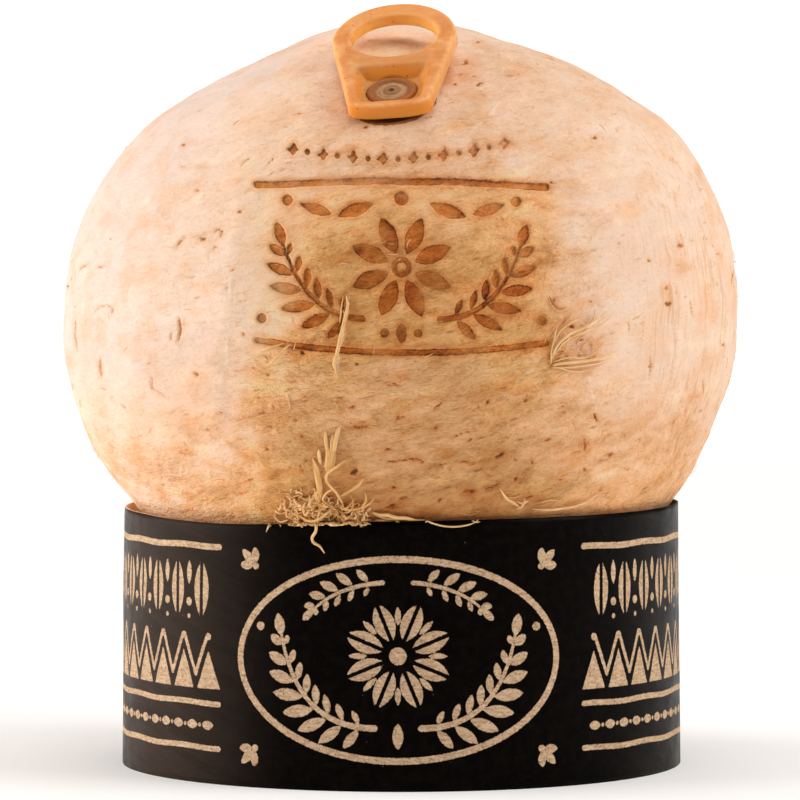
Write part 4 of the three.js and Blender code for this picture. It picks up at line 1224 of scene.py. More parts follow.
# soft creases: (u0, z0, u1, z1, height, width)
CREASES = [(-47, 44.5, -33, 37.5, 0.16, 1.1), (-52, 19.5, -40, 11.5, 0.14, 1.0), (-44, 22.0, -37, 17.0, -0.10, 0.9), (-60, 34, -50, 29, 0.08, 1.2),
           (-36, 43, -24, 41.5, 0.07, 1.3), (38, 30.5, 50, 27.5, 0.07, 1.0), (44, 24, 40, 14, -0.06, 1.2), (96, 40, 84, 30, 0.12, 1.2),
           (-112, 30, -96, 20, 0.12, 1.3), (120, 12, 132, 22, 0.10, 1.1), (-126, 42, -118, 34, 0.09, 1.0)]


def cut_edge_material():
    k = Mat("kraft_card_edge")
    co = k.coords()
    c = k.mix(k.rng(k.noise(k.scale(co, 1, 1, 5), 1, 4, 0.7), 0.35, 0.65), srgb(150, 112, 80), srgb(206, 168, 130))
    # the edge is darker on the right, and the board is palest on the left
    c = k.mix(k.rng(k.sep(co, 0), 40.5, 46), c, srgb(46, 39, 34))
    c = k.mix(k.rng(k.sep(co, 0), -38, -45), c, srgb(238, 206, 176))
    k.put(k.p.inputs["Base Color"], c)
    k.p.inputs["Roughness"].default_value = 0.85
    k.put(k.p.inputs["Normal"], k.bump(k.noise(co, 3, 3), 0.0001, 0.8))
    return k.m


EDGE_MAT = cut_edge_material()
sv, sf, sd, sm = sleeve_mesh()
band = mesh_object("card_sleeve", sv, sf, [CARD_MAT, EDGE_MAT], "fruit", {"ink": sd, "cut": np.zeros(len(sv))}, sm)
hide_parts("sleeve")
print("SLEEVE faces", sum(len(f) for f in sf))


# ------------------------------------------------------------------ moulded opener parts, from distance fields
def poly_sdf(X, Y, pts):
    """Signed distance to a closed outline, negative inside."""
    pts = np.asarray(pts, float)
    d = np.full(X.shape, 1e9)
    s = np.ones(X.shape)
    n = len(pts)
    for i in range(n):
        a, b = pts[i], pts[i - 1]
        ex, ey = b - a
        wx, wy = X - a[0], Y - a[1]
        t = np.clip((wx * ex + wy * ey) / (ex * ex + ey * ey + 1e-12), 0, 1)
        d = np.minimum(d, (wx - ex * t) ** 2 + (wy - ey * t) ** 2)
        c1, c2, c3 = Y >= a[1], Y < b[1], ex * wy > ey * wx
        s = np.where((c1 & c2 & c3) | (~c1 & ~c2 & ~c3), -s, s)
    return s * np.sqrt(d)


def surface_nets(D, lo, h):
    """Closed quads round the negative part of a grid of distances."""
    nx, ny, nz = D.shape
    inside = D < 0
    cell = np.zeros((nx - 1, ny - 1, nz - 1), int)
    for c in range(8):
        i, j, k = c & 1, (c >> 1) & 1, (c >> 2) & 1
        cell += inside[i:nx - 1 + i, j:ny - 1 + j, k:nz - 1 + k]
    act = (cell > 0) & (cell < 8)
    I = np.argwhere(act)
    num = np.full(act.shape, -1)
    num[act] = np.arange(len(I))
    acc, cnt = np.zeros((len(I), 3)), np.zeros(len(I))
    for ax in range(3):
        o1, o2 = [a for a in range(3) if a != ax]
        for p in (0, 1):
            for q in (0, 1):
                a = I.copy(); a[:, o1] += p; a[:, o2] += q
                b = a.copy(); b[:, ax] += 1
                da, db = D[tuple(a.T)], D[tuple(b.T)]
                m = (da < 0) != (db < 0)
                t = da[m] / (da[m] - db[m])
                pt = a[m].astype(float); pt[:, ax] += t
                acc[m] += pt; cnt[m] += 1
    V = acc / cnt[:, None] * h + lo
    Q = []
    for ax in range(3):
        o1, o2 = (ax + 1) % 3, (ax + 2) % 3
        a = [slice(None)] * 3; b = [slice(None)] * 3
        a[ax], b[ax] = slice(0, -1), slice(1, None)
        s0, s1 = inside[tuple(a)], inside[tuple(b)]
        E = np.argwhere(s0 != s1)
        E = E[(E[:, o1] > 0) & (E[:, o2] > 0) & (E[:, o1] < D.shape[o1] - 1) & (E[:, o2] < D.shape[o2] - 1)]
        up = s0[tuple(E.T)]
        c = []
        for p, q in ((-1, -1), (0, -1), (0, 0), (-1, 0)):
            t = E.copy(); t[:, o1] += p; t[:, o2] += q
            c.append(num[tuple(t.T)])
        c = np.stack(c, 1)
        Q.append(np.where(up[:, None], c, c[:, ::-1]))
    return V, np.vstack(Q)


def ring_outline(n=90):
    t = np.linspace(0, np.pi, n)
    far = np.c_[10.9 * np.cos(t), 15.5 + 11.6 * np.sin(t)]
    t = np.pi + np.linspace(0, np.pi, n)
    c, s = np.cos(t), np.sin(t)
    e = 2 / 2.6
    near = np.c_[7.3 * np.sign(c) * np.abs(c) ** e, -5.0 - 3.0 * np.abs(s) ** e]
    return np.vstack([far, near])


def ellipse_sdf(X, Y, cx, cy, rx, ry):
    t = np.linspace(0, 2 * np.pi, 121)[:-1]
    return poly_sdf(X, Y, np.c_[cx + rx * np.cos(t), cy + ry * np.sin(t)])


def rounded_poly(corners, r, steps=8):
    out, n = [], len(corners)
    for i in range(n):
        p, a, b = (np.array(corners[j % n], float) for j in (i, i - 1, i + 1))
        a, b = (a - p) / np.linalg.norm(a - p), (b - p) / np.linalg.norm(b - p)
        s, e = p + a * r, p + b * r
        for q in np.linspace(0, 1, steps + 1):
            out.append((1 - q) ** 2 * s + 2 * q * (1 - q) * p + q * q * e)
    return np.array(out)


def pull_ring():
    h = 0.19
    xs = np.arange(-11.6, 11.6 + h, h)
    ys = np.arange(-8.8, 27.9 + h, h)
    zs = np.arange(-0.6, 3.6 + h, h)
    X, Y = np.meshgrid(xs, ys, indexing="ij")
    d_out = poly_sdf(X, Y, ring_outline())
    d_fin = ellipse_sdf(X, Y, 0, 15.9, 7.5, 6.9)
    d_up = poly_sdf(X, Y, rounded_poly([[-5.35, -6.2], [5.35, -6.2], [6.75, 6.0], [-6.75, 6.0]], 2.0))
    d_lo = poly_sdf(X, Y, rounded_poly([[-4.9, -6.6], [4.9, -6.6], [6.6, 6.2], [-6.6, 6.2]], 1.6))
    R = np.hypot(X, Y)
    Z = zs[None, None, :]
    E = lambda a: a[:, :, None]
    r = 0.62
    a, b = E(d_out) + r, np.abs(Z - 1.5) - (1.5 - r)
    D = np.minimum(np.maximum(a, b), 0) + np.hypot(np.maximum(a, 0), np.maximum(b, 0)) - r
    # the rails' outer walls lean in a little towards the top
    D = np.maximum(D, E(d_out) + 0.10 * (Z - 0.6))
    D = smax(D, -(E(d_fin) - 0.10 * np.abs(Z - 1.3)), 0.55)
    floor = 1.6 - 0.62 * (1 - smooth(4.7, 7.6, E(R)))
    pocket = np.maximum(E(d_up) + (3.0 - Z) * (0.42 + 0.85 * smooth(1.0, 5.0, E(Y))), floor - Z)
    D = smax(D, -pocket, 0.42)
    D = smax(D, -np.maximum(E(d_lo) + 0 * Z, Z - 0.55), 0.3)
    D = smax(D, -(E(R) - 4.385 + 0 * Z), 0.12)
    wedge = Z - np.clip((E(Y) - 9) * 1.2 / 21, 0, 1.2)
    D = smax(D, -wedge * 0.998, 0.35)
    lump = 0.035 * fbm(np.c_[X.ravel() / 4.0, Y.ravel() / 4.0, X.ravel() * 0], 2, 91).reshape(X.shape)
    D = D + lump[:, :, None]
    V, Q = surface_nets(D, np.array([xs[0], ys[0], zs[0]]), h)
    # inner walls and the web look deeper in tone, and the rounded corners are painted paler as a painted rim highlight
    x, y, z = V.T
    wall = 1 - smooth(2.2, 2.8, z)
    near_head = 1 - smooth(4.9, 8.2, np.hypot(x, y))
    back = smooth(-2.0, 3.0, y) * near_head
    lip = (1 - smooth(-6.6, -5.6, y)) * (1 - smooth(2.3, 2.9, z))
    deep = np.clip(0.18 * wall + 0.60 * back * wall + 0.22 * near_head * wall + 0.85 * lip, 0, 1)
    rim = np.minimum(np.abs(poly_sdf(x, y, ring_outline())), np.abs(ellipse_sdf(x, y, 0, 15.9, 7.5, 6.9)))
    outer = 1 - smooth(0.1, 0.5, np.abs(poly_sdf(x, y, ring_outline())))
    painted_rim_highlight = np.maximum((1 - smooth(0.15, 1.0, rim)) * smooth(1.2, 2.4, z), 0.75 * outer * smooth(-5.5, -2.5, y))
    lit = (1 - smooth(0.25, 0.8, np.abs(ellipse_sdf(x, y, 0, 15.9, 7.5, 6.9)))) * smooth(15, 19, y) * (1 - smooth(2.2, 2.9, z))
    # the web between the holes lets the brown of the husk through, the far arc is the palest
    web = (1 - smooth(5.2, 7.2, np.abs(x))) * smooth(1.5, 5.5, y) * (1 - smooth(8.6, 10.5, y))
    far = smooth(17, 23, y) * smooth(2.2, 2.8, z)
    P = from_opener(V[:, 0], V[:, 1], V[:, 2])
    return P, Q, {"web": web, "far": far, "deep": deep, "painted_rim_highlight": painted_rim_highlight * (1 - lit), "lit": lit}


rv, rq, rattr = pull_ring()
ring = mesh_object("ring_pull_tab", rv, rq, [AMBER_MAT], "ring", rattr)
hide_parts("pull_ring")
print("RING quads", len(rq))


def plug():
    pts = [(0, -4.7), (3, -4.7), (6.3, -4.7), (6.6, -4.6), (6.8, -4.3), (6.8, -3.0), (6.7, -2.75), (6.45, -2.6), (6.0, -2.6), (5.9, -2.5), (5.2, -2.5),
           (5.1, -2.6), (3.9, -2.6), (3.55, -2.45), (3.35, -2.1), (3.3, -1.5), (3.3, -0.5), (3.45, -0.28), (3.9, -0.12), (4.15, -0.02), (4.32, 0.2), (4.32, 0.92),
           (4.27, 1.12), (4.1, 1.29), (3.9, 1.36), (3.75, 1.38), (3.35, 1.36), (3.15, 1.28), (3.0, 1.16), (2.85, 1.08), (2.6, 1.05), (2.3, 1.05), (2.15, 1.10),
           (2.05, 1.18), (1.9, 1.21), (1.75, 1.18), (1.65, 1.10), (1.5, 1.05), (1.3, 1.06), (1.15, 1.12), (1.0, 1.24), (0.85, 1.30), (0.6, 1.30), (0.42, 1.24),
           (0.3, 1.12), (0.15, 1.05), (0, 1.04)]
    pts = np.array(pts, float)
    fine = [pts[0]]
    for a, b in zip(pts[:-1], pts[1:]):
        n = max(1, int(math.ceil(np.hypot(*(b - a)) / 0.45)))
        for q in range(1, n + 1):
            fine.append(a + (b - a) * q / n)
    pts = np.array(fine)
    n = 128
    t = np.arange(n) * 2 * np.pi / n
    rows = pts[1:-1]
    wob = 0.03 * fbm(np.c_[np.cos(t) * 2, np.sin(t) * 2, t * 0], 2, 95)
    V = [np.array([[0, 0, pts[0][1]]])]
    for (r, z) in rows:
        rr = r * (1 + (wob if 1.0 < r < 4.0 and z > 0 else 0))
        V.append(np.c_[rr * np.cos(t), rr * np.sin(t), np.full(n, z)])
    V.append(np.array([[0, 0, pts[-1][1]]]))
    V = np.vstack(V)
    ids = 1 + np.arange(len(rows) * n).reshape(len(rows), n)
    Q = np.vstack([np.c_[ids[k], np.roll(ids[k], -1), np.roll(ids[k + 1], -1), ids[k + 1]] for k in range(len(rows) - 1)])
    T = np.vstack([np.c_[np.zeros(n, int), np.roll(ids[0], -1), ids[0]], np.c_[ids[-1], np.roll(ids[-1], -1), np.full(n, len(V) - 1)]])
    return V, [Q, T]


pv, pf = plug()
pr = np.hypot(pv[:, 0], pv[:, 1])
plug_ob = mesh_object("plug_with_head", from_opener(pv[:, 0], pv[:, 1], pv[:, 2]), pf, [PLUG_MAT], "fruit", {"radius": pr})
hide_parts("opener_plug")


# ------------------------------------------------------------------ loose fibres
def on_surface(px, py):
    """First point of the husk or sleeve behind picture points, its outward normal, and which it is."""
    px, py = np.atleast_1d(np.asarray(px, float)), np.atleast_1d(np.asarray(py, float))
    d = FWD * FPX + np.outer(px - 400, RIGHT) - np.outer(py - 400, UP)
    d = d / np.linalg.norm(d, axis=1)[:, None]

    def gap(t):
        P = CAM + d * t[:, None]
        r, phi, z = np.hypot(P[:, 0], P[:, 1]), np.arctan2(P[:, 1], P[:, 0]), P[:, 2]
        g = np.where((z > 0) & (z < 132.8), r - husk_r(np.clip(z, 0, 132.8), phi), 5.0)
        s = np.where((z > 0) & (z < sleeve_h(phi)), r - (SR_LOW + (SR_TOP - SR_LOW) * z / SH), 5.0)
        return np.minimum(g, s), s < g

    n = len(px)
    ts = np.arange(830, 905, 0.5)
    lo, found = np.full(n, 900.0), np.zeros(n, bool)
    for t in ts:
        g, _ = gap(np.full(n, t))
        hit = (g < 0) & ~found
        lo[hit] = t
        found |= hit
    a, b = lo - 0.5, lo.copy()
    for _ in range(22):
        m = (a + b) / 2
        g, _ = gap(m)
        b = np.where(g < 0, m, b)
        a = np.where(g < 0, a, m)
    _, card = gap(b)
    P = CAM + d * b[:, None]
    N = husk_base_normals(P)
    er = np.c_[P[:, 0], P[:, 1], 0 * P[:, 2]]
    N[card] = (er / np.linalg.norm(er, axis=1)[:, None])[card]
    return P, N, card


class Strands:
    """Tubes and flat strips along curves, gathered into one mesh."""

    def __init__(self):
        self.V, self.F, self.tone, self.grain, self.n, self.todo = [], [], [], [], 0, []

    def lay(self, pts, half, thick=None, tone=0.5, step=2.2, **kw):
        """A strand through picture points (x, y, height above the surface in mm)."""
        self.todo.append((spline(pts, step), half, half if thick is None else thick, tone, kw))

    def settle(self):
        """Puts all the laid strands on the surface."""
        c = np.vstack([t[0] for t in self.todo])
        P, N, card = on_surface(c[:, 0], c[:, 1])
        d = np.where(card, 0.1, husk_fields_d(P, N))
        i = 0
        for pts, half, thick, tone, kw in self.todo:
            j = i + len(pts)
            self.add(P[i:j] + N[i:j] * (d[i:j] + pts[:, 2] + thick)[:, None], N[i:j], half, thick, tone, **kw)
            i = j
        self.todo = []

    def add(self, P, N, half, thick, tone=0.5, sides=6, tip0=0.15, tip1=0.15):
        """P and N are points and outward normals along the strand; half and thick its half width and half thickness."""
        m = len(P)
        T = np.gradient(P, axis=0)
        T = T / np.maximum(np.linalg.norm(T, axis=1), 1e-9)[:, None]
        B = np.cross(T, N)
        B = B / np.maximum(np.linalg.norm(B, axis=1), 1e-9)[:, None]
        Nn = np.cross(B, T)
        t = np.linspace(0, 1, m)
        prof = np.minimum(1, np.minimum(tip0 + (1 - tip0) * t / 0.22, tip1 + (1 - tip1) * (1 - t) / 0.22))
        half, thick = np.asarray(half) * prof, np.asarray(thick) * np.sqrt(prof)
        a = np.arange(sides) * 2 * np.pi / sides
        ring = (P[:, None, :] + B[:, None, :] * (half[:, None] * np.cos(a))[:, :, None] + Nn[:, None, :] * (thick[:, None] * np.sin(a))[:, :, None])
        V = np.vstack([ring.reshape(-1, 3), P[0], P[-1]])
        i = np.arange(m * sides).reshape(m, sides)
        q = np.stack([i[:-1], np.roll(i[:-1], -1, 1), np.roll(i[1:], -1, 1), i[1:]], -1).reshape(-1, 4)
        c0, c1 = m * sides, m * sides + 1
        tri = np.vstack([np.c_[q[:, 0], q[:, 1], q[:, 2]], np.c_[q[:, 0], q[:, 2], q[:, 3]],
                         np.c_[np.roll(i[0], -1), i[0], np.full(sides, c0)], np.c_[i[-1], np.roll(i[-1], -1), np.full(sides, c1)]])
        run = np.concatenate([[0], np.cumsum(np.linalg.norm(np.diff(P, axis=0), axis=1))])
        across = half[:, None] * np.cos(a)
        g = np.stack([across + 0 * run[:, None], 0 * across + run[:, None], 0 * across + len(self.V) * 7.3], -1).reshape(-1, 3)
        self.grain.append(np.vstack([g, [0, 0, len(self.V) * 7.3], [0, run[-1], len(self.V) * 7.3]]))
        self.V.append(V)
        self.F.append(tri[:, ::-1] + self.n)
        self.tone.append(np.full(len(V), tone) if np.isscalar(tone) else np.append(np.repeat(tone, sides), [tone[0], tone[-1]]))
        self.n += len(V)

    def done(self, name):
        if self.todo:
            self.settle()
        return mesh_object(name, np.vstack(self.V), np.vstack(self.F), [FIBRE_MAT], "fruit",
                           {"tone": np.concatenate(self.tone), "grain": np.vstack(self.grain)})


def spline(pts, step):
    """A smooth curve through control points of any width, with about one point each step of the first two columns."""
    pts = np.asarray(pts, float)
    L = np.concatenate([[0], np.cumsum(np.hypot(*np.diff(pts[:, :2], axis=0).T))])
    n = max(5, int(L[-1] / step) + 1)
    q = np.vstack([2 * pts[0] - pts[1], pts, 2 * pts[-1] - pts[-2]])
    out = []
    for s in np.linspace(0, L[-1], n):
        k = min(len(pts) - 2, max(0, int(np.searchsorted(L, s, side="right")) - 1))
        t = (s - L[k]) / max(L[k + 1] - L[k], 1e-9)
        a, b, c, d = q[k], q[k + 1], q[k + 2], q[k + 3]
        out.append(0.5 * (2 * b + (c - a) * t + (2 * a - 5 * b + 4 * c - d) * t * t + (3 * b - a - 3 * c + d) * t ** 3))
    return np.array(out)


def husk_fields_d(P, N):
    """The husk's relief at a few points (broad part only)."""
    z, phi = P[:, 2], np.arctan2(P[:, 1], P[:, 0])
    d = trimming(P)
    k = np.searchsorted(RIDGES, phi) - 1
    lo = np.where(k < 0, RIDGES[-1] - 2 * np.pi, RIDGES[k])
    hi = np.where(k == len(RIDGES) - 1, RIDGES[0] + 2 * np.pi, RIDGES[(k + 1) % len(RIDGES)])
    u = (phi - lo) / (hi - lo)
    body = smooth(50, 64, z) * (1 - smooth(104, 121, z))
    hl, hh = RIDGE_H[k], RIDGE_H[(k + 1) % len(RIDGES)]
    width = (hi - lo) * 60
    near = np.minimum(u, 1 - u) * width
    return d + body * (-np.minimum(0.42, width ** 2 * 0.0011) * 4 * u * (1 - u) * (hl * (1 - u) + hh * u) + 0.10 * np.exp(-(near / 1.1) ** 2) * np.where(u < 0.5, hl, hh))


def tufts():
    s = Strands()
    rng = np.random.RandomState(21)
    # flat torn strips above the sleeve
    s.lay([(331, 448, .25), (331.5, 456, .5), (330.5, 463, .7), (329, 471, .6)], .92, 0.13, .60, tip0=1, tip1=.25)
    s.lay([(325.5, 430, .05), (326, 438, .2), (328, 449, .35)], .34, .13, .78, tip0=.1, tip1=1)
    s.lay([(333, 433, .05), (332.5, 440, .2), (331.5, 450, .35)], .30, .12, .70, tip0=.1, tip1=1)
    s.lay([(341, 424, .05), (337.5, 433, .2), (334.5, 450, .35)], .38, .13, .80, tip0=.1, tip1=1)
    s.lay([(313, 458, .1), (317, 465, .6), (320, 478, .9), (321, 488, .9), (318, 500, .6), (316, 508, .3)], .58, .15, .58, tip0=.3, tip1=.5)
    s.lay([(319, 449, .1), (320, 456, .3), (321.5, 463, .4)], .35, .14, .85, tip0=.2)
    # curls
    s.lay([(354, 456.5, .3), (346, 458, .9), (339, 462, 1.3), (330, 468, 1.5), (328.5, 474, 1.5), (332, 480, 1.4), (338, 488, 1.2), (342, 496, 1.0), (345.5, 506, .6)], .26, None, .74)
    s.lay([(363.5, 476, .5), (360, 481, .8), (353, 485, 1.2), (346, 489, 1.2), (341, 491, 1.1)], .27, None, .62, tip0=.8)
    s.lay([(340, 483, .7), (333, 485, 1.2), (327, 489, 1.5), (325, 494, 1.5), (328, 499, 1.1), (335, 503, .8)], .20, None, .60)
    s.lay([(364.5, 489, .4), (367, 495, .9), (364, 501, 1.0), (359, 505, .8)], .19, None, .58)
    s.lay([(376, 493, .6), (371, 498, 1.0), (365, 502, 1.1), (355, 505, 1.0), (345, 506, .6), (339, 503, .4)], .21, None, .60)
    s.lay([(359, 500, .5), (360, 507, .9), (359, 515, .8)], .18, None, .55)
    s.lay([(350, 492, .3), (354, 498, .8), (352, 506, 1.0), (344, 509, .8), (337, 506, .4)], .17, None, .52)
    s.lay([(334, 507, .5), (342, 512, 1.0), (352, 513, 1.1), (361, 517, 1.0), (367, 522, .9)], .26, None, .55)
    s.lay([(336, 515, .6), (345, 518, 1.0), (354, 516, 1.0), (363, 521, 1.1)], .22, None, .50)
    # a strand over the sleeve
    s.lay([(322, 500, .6), (321, 509, 1.4), (320, 516, 2.0), (319.5, 524, 1.6), (318, 531, .9), (314.2, 537, .7), (315, 542, .5), (321, 546, .4), (325.6, 553, .3)], .27, None, .86, tip0=.6, tip1=.4)
    s.lay([(268, 532, .3), (271, 526, .5), (276, 521.5, 1.2), (286, 519.5, 1.5), (296, 517, 1.2)], .24, None, .84)
    s.lay([(275, 512, .2), (279, 516, .6), (284, 518, .9), (291, 515, .9)], .22, None, .66)
    s.lay([(283, 524, 1.0), (290, 519, 1.4), (300, 521, 1.5), (309, 524, 1.3)], .24, None, .62)
    s.lay([(300, 509, .8), (310, 512, 1.7), (320, 511, 2.1), (330, 506, 1.4), (334, 503, .8)], .24, None, .7)
    # the curly mass against the sleeve's edge
    for k in range(270):
        left = k < 205
        x = rng.normal(310, 11.5) if left else rng.uniform(336, 366)
        y = rng.normal(509, 8.0) if left else rng.uniform(508, 522)
        y = min(y, 523)
        a, turn = rng.uniform(0, 6.28), rng.normal(0, .55)
        h, pts = rng.uniform(.1, 1.6), []
        n = rng.randint(4, 9)
        for q in range(n):
            pts.append((x, y, max(.05, h * (.5 + .5 * math.sin(q * 1.3 + k)))))
            st = rng.uniform(2.2, 4.4)
            x, y = x + st * math.cos(a), min(524.5, y + st * math.sin(a) * .8)
            turn = turn * .8 + rng.normal(0, .55)
            a += turn
            if abs(x - (310 if left else 350)) > (30 if left else 18) or y < 486:
                a += 2.4
        s.lay(pts, rng.uniform(.12, .26), None, float(np.clip(rng.normal(.80, .15), .2, 1.0)), step=1.6, tip0=.3, tip1=.2)
    # strip and fibres along the sleeve's edge
    s.lay([(373, 511, .2), (380, 512.5, .5), (388, 512, .6), (397, 514.5, .7), (406, 515, .7), (415, 517.5, .6), (424, 518.5, .3)], .42, .22, .86, tip0=.6, tip1=.3)
    s.lay([(377, 515, .1), (386, 516.5, .4), (396, 517.5, .5), (404, 517, .3)], .22, .16, .72, tip0=.5)
    s.lay([(418, 518, .6), (426, 520.5, .9), (434, 523.6, .8), (444, 526, .5), (455, 526.5, .4), (466, 525, .4), (473, 522.5, .5), (477, 519.5, .6)], .15, None, .95, tip0=.6, tip1=.4)
    s.lay([(470, 519, .3), (474, 522, .6), (479, 521.5, .5)], .11, None, .9)
    s.lay([(372, 519, .4), (381, 517, .7), (392, 519, .7), (399, 522, .4)], .22, None, .6)
    s.lay([(499, 487, .1), (502, 492, .4), (506, 496.5, .6), (512, 500, .6), (519, 505, .4)], .24, None, .88)
    s.lay([(515, 507, .2), (519, 505, .5), (522, 500, .8), (523, 495, .6)], .20, None, .9)
    s.lay([(516, 500, .2), (521, 501, .6), (527, 498, .5)], .17, None, .85)
    s.lay([(531, 508, .2), (545, 507.5, .5), (560, 506, .6), (571, 504, .6), (580, 501, .5), (588, 498, .4), (597, 492, .2)], .20, None, .84)
    s.lay([(536, 503, .1), (548, 499, .3), (560, 500, .2)], .13, None, .7)
    # torn strip in the middle of the front
    s.lay([(346.5, 296, .05), (348.2, 305, .35), (346.5, 316, .55), (343.5, 328, .6), (340.5, 342, .5), (337.5, 354, .4), (334.8, 363, .3), (336.5, 371, .15), (339, 380, .03)],
        .33, .20, .80, step=1.6, tip0=.35, tip1=.2)
    s.lay([(343.5, 296, .02), (342, 306, .2), (341, 315, .15), (339.5, 324, .02)], .15, .12, .7)
    s.lay([(291.5, 343.5, .02), (286, 348, .3), (280, 354.5, .45), (271, 363, .35), (263, 366.5, .05)], .21, .15, .78)
    s.lay([(285, 343, .02), (277, 345.5, .2), (270, 347.5, .22), (260, 352.5, .03)], .17, .12, .70)
    s.lay([(234, 426, .03), (242.6, 421, .25), (256, 417, .25), (268, 414.5, .03)], .17, .12, .74)
    s.lay([(287, 394, .02), (289.7, 405, .15), (290, 409, .02)], .12, .1, .7)
    s.lay([(255, 358, .02), (262, 356, .15), (268, 360, .02)], .12, .1, .6)
    # tuft on the right
    for pts, w, tn in [([(552, 365, .02), (560, 363, .35), (575, 361, .6), (598, 357, .9), (615, 352.5, .5)], .26, .98), ([(551, 367, .02), (570, 366.5, .4), (590, 363, .7), (609, 359, .5)], .18, .9),
                       ([(556, 367, .02), (574, 371, .3), (590, 368, .5), (602, 362, .3)], .15, .9), ([(551, 358, .02), (555, 346, .5), (566, 334, 1.0), (584, 325, 1.4), (602, 311, 1.0)], .25, 1.0),
                       ([(554, 354, .02), (563, 342, .5), (578, 333, .9), (596, 325, 1.2), (607, 316, .8)], .17, .95), ([(552, 346, .02), (557, 333, .5), (568, 323, .8), (581, 318, .6)], .17, .9),
                       ([(558, 361, .02), (563, 351, .4), (566, 339, .6), (564.5, 328, .3)], .12, .72), ([(550.5, 363, .02), (550, 350, .4), (553, 336, .5), (557, 323, .2)], .16, .95),
                       ([(561, 352, .02), (572, 350, .4), (584, 342, .8), (591, 331, .6)], .11, .7), ([(565, 343, .02), (577, 336, .6), (589, 319, 1.0), (592, 309, .6)], .11, .82),
                       ([(556, 331, .02), (565, 322, .4), (571, 311, .3)], .10, .7), ([(553, 362, .02), (566, 357, .5), (581, 357, .8), (592, 350, .9), (600, 341, .6)], .15, .9)]:
        s.lay(pts, w, None, tn, tip0=.8, tip1=.15)
    s.lay([(549.5, 296.5, .02), (552, 303, .3), (557, 308, .4), (566, 307.5, .1)], .22, .16, .05)
    for k in range(34):
        x, y = rng.uniform(544, 592), rng.uniform(322, 364)
        a = rng.normal(-.6, .9)
        L = rng.uniform(4, 11)
        s.lay([(x, y, .02), (x + L * .5 * math.cos(a), y + L * .5 * math.sin(a) - 1, .25), (x + L * math.cos(a), y + L * math.sin(a), .1)], rng.uniform(.06, .13), None, rng.uniform(.6, 1.0))
    return s.done("husk_tufts")


def hairs():
    """Short fibres lifted by the knife, all round the husk."""
    s = Strands()
    rng = np.random.RandomState(33)
    n, m = 460, 7
    f, z = rng.uniform(-np.pi, np.pi, 4 * n), rng.uniform(46, 131, 4 * n)
    C = np.c_[husk_r(z, f) * np.cos(f), husk_r(z, f) * np.sin(f), z]
    a_, s_, _ = opener_local(C)
    ok = (rng.rand(4 * n) < mean_r(z) / 60.4) & (np.hypot(a_, s_ - 8) > 21)
    # fewer on the smooth bright side at the front left
    ok &= (rng.rand(4 * n) < np.where((f < rad(-118)) & (f > rad(-178)), 0.35, 1.0))
    C = C[ok][:n]
    n = len(C)
    N = husk_base_normals(C)
    hor = np.cross([0, 0, 1.0], N)
    hor /= np.linalg.norm(hor, axis=1)[:, None]
    ver = np.cross(N, hor)
    low = smooth(95, 55, C[:, 2])
    a = np.where(rng.rand(n) < .72, rng.normal(.2, .5, n), rng.normal(1.5, .35, n))
    g = np.cos(a)[:, None] * hor + np.sin(a)[:, None] * ver
    side = np.cross(N, g)
    L = rng.uniform(0.7, 3.0, n) * (.7 + .5 * low)
    t = np.linspace(-.5, .5, m)
    bend, lift = rng.normal(0, .38, n), rng.uniform(.0, .22, n) * (.5 + low)
    lift += (rng.rand(n) < .10) * rng.uniform(.2, .7, n)
    Q = C[:, None] + (t * L[:, None])[:, :, None] * g[:, None] + ((bend * L)[:, None] * (t * t - .1))[:, :, None] * side[:, None]
    Q = Q.reshape(-1, 3)
    ph, zz = np.arctan2(Q[:, 1], Q[:, 0]), np.clip(Q[:, 2], .1, 132.6)
    on = np.c_[husk_r(zz, ph) * np.cos(ph), husk_r(zz, ph) * np.sin(ph), zz]
    Nq, w = husk_base_normals(on), rng.uniform(.03, .075, n)
    shape = np.where((rng.rand(n) < .6)[:, None], 1.0, .5 + t)
    h = husk_fields_d(on, Nq).reshape(n, m) + lift[:, None] * (1 - (2 * t) ** 2) * shape + w[:, None] * .4
    on, Nq, tone = on.reshape(n, m, 3), Nq.reshape(n, m, 3), np.clip(rng.normal(.78, .15, n), 0, 1)
    for i in range(n):
        s.add(on[i] + Nq[i] * h[i][:, None], Nq[i], w[i], w[i], float(tone[i]), sides=5, tip0=.2, tip1=.2)
    return s.done("husk_hairs")


tufts()
hairs()


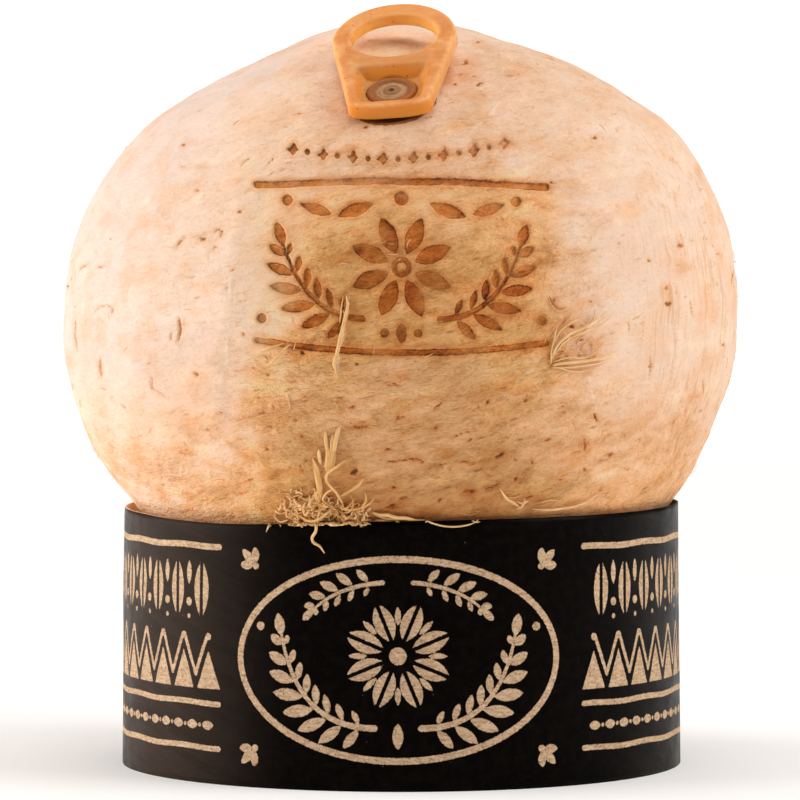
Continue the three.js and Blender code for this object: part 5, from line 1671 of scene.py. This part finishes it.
# ------------------------------------------------------------------ surroundings
def backdrop():
    prof = [(0.0, 0.0)]
    R0, RC = 2.2, 1.4
    prof += [(R0 * k / 10, 0.0) for k in range(1, 11)]
    prof += [(R0 + RC * math.sin(a), RC - RC * math.cos(a)) for a in np.linspace(0, rad(52), 10)[1:]]
    n = 96
    t = np.arange(n) * 2 * np.pi / n
    V, F = [[0, 0, 0]], []
    for r, z in prof[1:]:
        V += np.c_[r * np.cos(t), r * np.sin(t), np.full(n, z)].tolist()
    for i in range(n):
        F.append((0, 1 + i, 1 + (i + 1) % n))
    for k in range(len(prof) - 2):
        for i in range(n):
            a, b = 1 + k * n + i, 1 + k * n + (i + 1) % n
            F.append((a, a + n, b + n, b))
    me = bpy.data.meshes.new("studio_floor")
    me.from_pydata([tuple(v) for v in V], [], F)
    me.polygons.foreach_set("use_smooth", np.ones(len(me.polygons), bool))
    ob = bpy.data.objects.new("studio_floor", me)
    bpy.context.scene.collection.objects.link(ob)
    k = Mat("studio_floor")
    co = k.node("TexCoord", out="Object")
    n = k.noise(co, 30, 3)
    k.put(k.p.inputs["Base Color"], k.mix(n, srgb(228, 227, 225), srgb(233, 232, 231)))
    k.p.inputs["Roughness"].default_value = 0.9
    k.p.inputs["Specular IOR Level"].default_value = 0.1
    # it glows softly, more the further it is, so that it stays pale from every side; less in front of the fruit
    xy = k.node("VectorMath", {0: k.scale(co, 1, 1, 0)}, out="Value", operation="LENGTH")
    glow = k.rng(xy, 0.04, 1.9, 0.27, FLOOR_GLOW)
    k.put(k.p.inputs["Emission Strength"], k.math("MULTIPLY", glow, k.rng(k.sep(co, 1), -0.8, -0.1, 0.40, 1.0)))
    k.m.cycles.emission_sampling = "NONE"
    k.p.inputs["Emission Color"].default_value = (1, 0.995, 0.985, 1)
    me.materials.append(k.m)
    return ob


FLOOR_GLOW = 0.92
backdrop()


def softbox(name, loc, target, sx, sy, power, color, spread=180):
    l = bpy.data.lights.new(name, "AREA")
    l.shape = "RECTANGLE"
    l.size, l.size_y = sx, sy
    l.energy = power
    l.color = color
    l.spread = rad(spread)
    o = bpy.data.objects.new(name, l)
    o.location = loc
    o.rotation_mode = "QUATERNION"
    o.rotation_quaternion = (bpy_vec(target) - bpy_vec(loc)).to_track_quat("-Z", "Y")
    o.visible_camera = False
    bpy.context.scene.collection.objects.link(o)
    return o


from mathutils import Vector as bpy_vec

softbox("left_box", (-1.14, 0.02, 0.42), (0, 0, 0.075), 1.15, 0.9, 14.2, (1.0, 0.985, 0.97))
softbox("right_box", (0.98, -0.28, 0.80), (0, 0, 0.08), 0.8, 0.7, 9.25, (1.0, 0.985, 0.965))
softbox("top_box", (0.05, 0.05, 1.25), (0, 0, 0.1), 0.9, 0.9, 6.6, (1.0, 0.99, 0.98))

world = bpy.data.worlds.new("studio")
bpy.context.scene.world = world
world.use_nodes = True
bg = world.node_tree.nodes["Background"]
bg.inputs[0].default_value = (1.0, 0.98, 0.96, 1)
bg.inputs[1].default_value = 0.10

cam = bpy.data.cameras.new("camera")
cam.lens, cam.sensor_width = LENS, 36
cam.clip_start, cam.clip_end = 0.05, 20
co = bpy.data.objects.new("camera", cam)
co.location = tuple(CAM * MM)
co.rotation_euler = (math.pi / 2 - PITCH, 0, 0)
bpy.context.scene.collection.objects.link(co)
bpy.context.scene.camera = co
bpy.context.scene.view_settings.view_transform = "Standard"
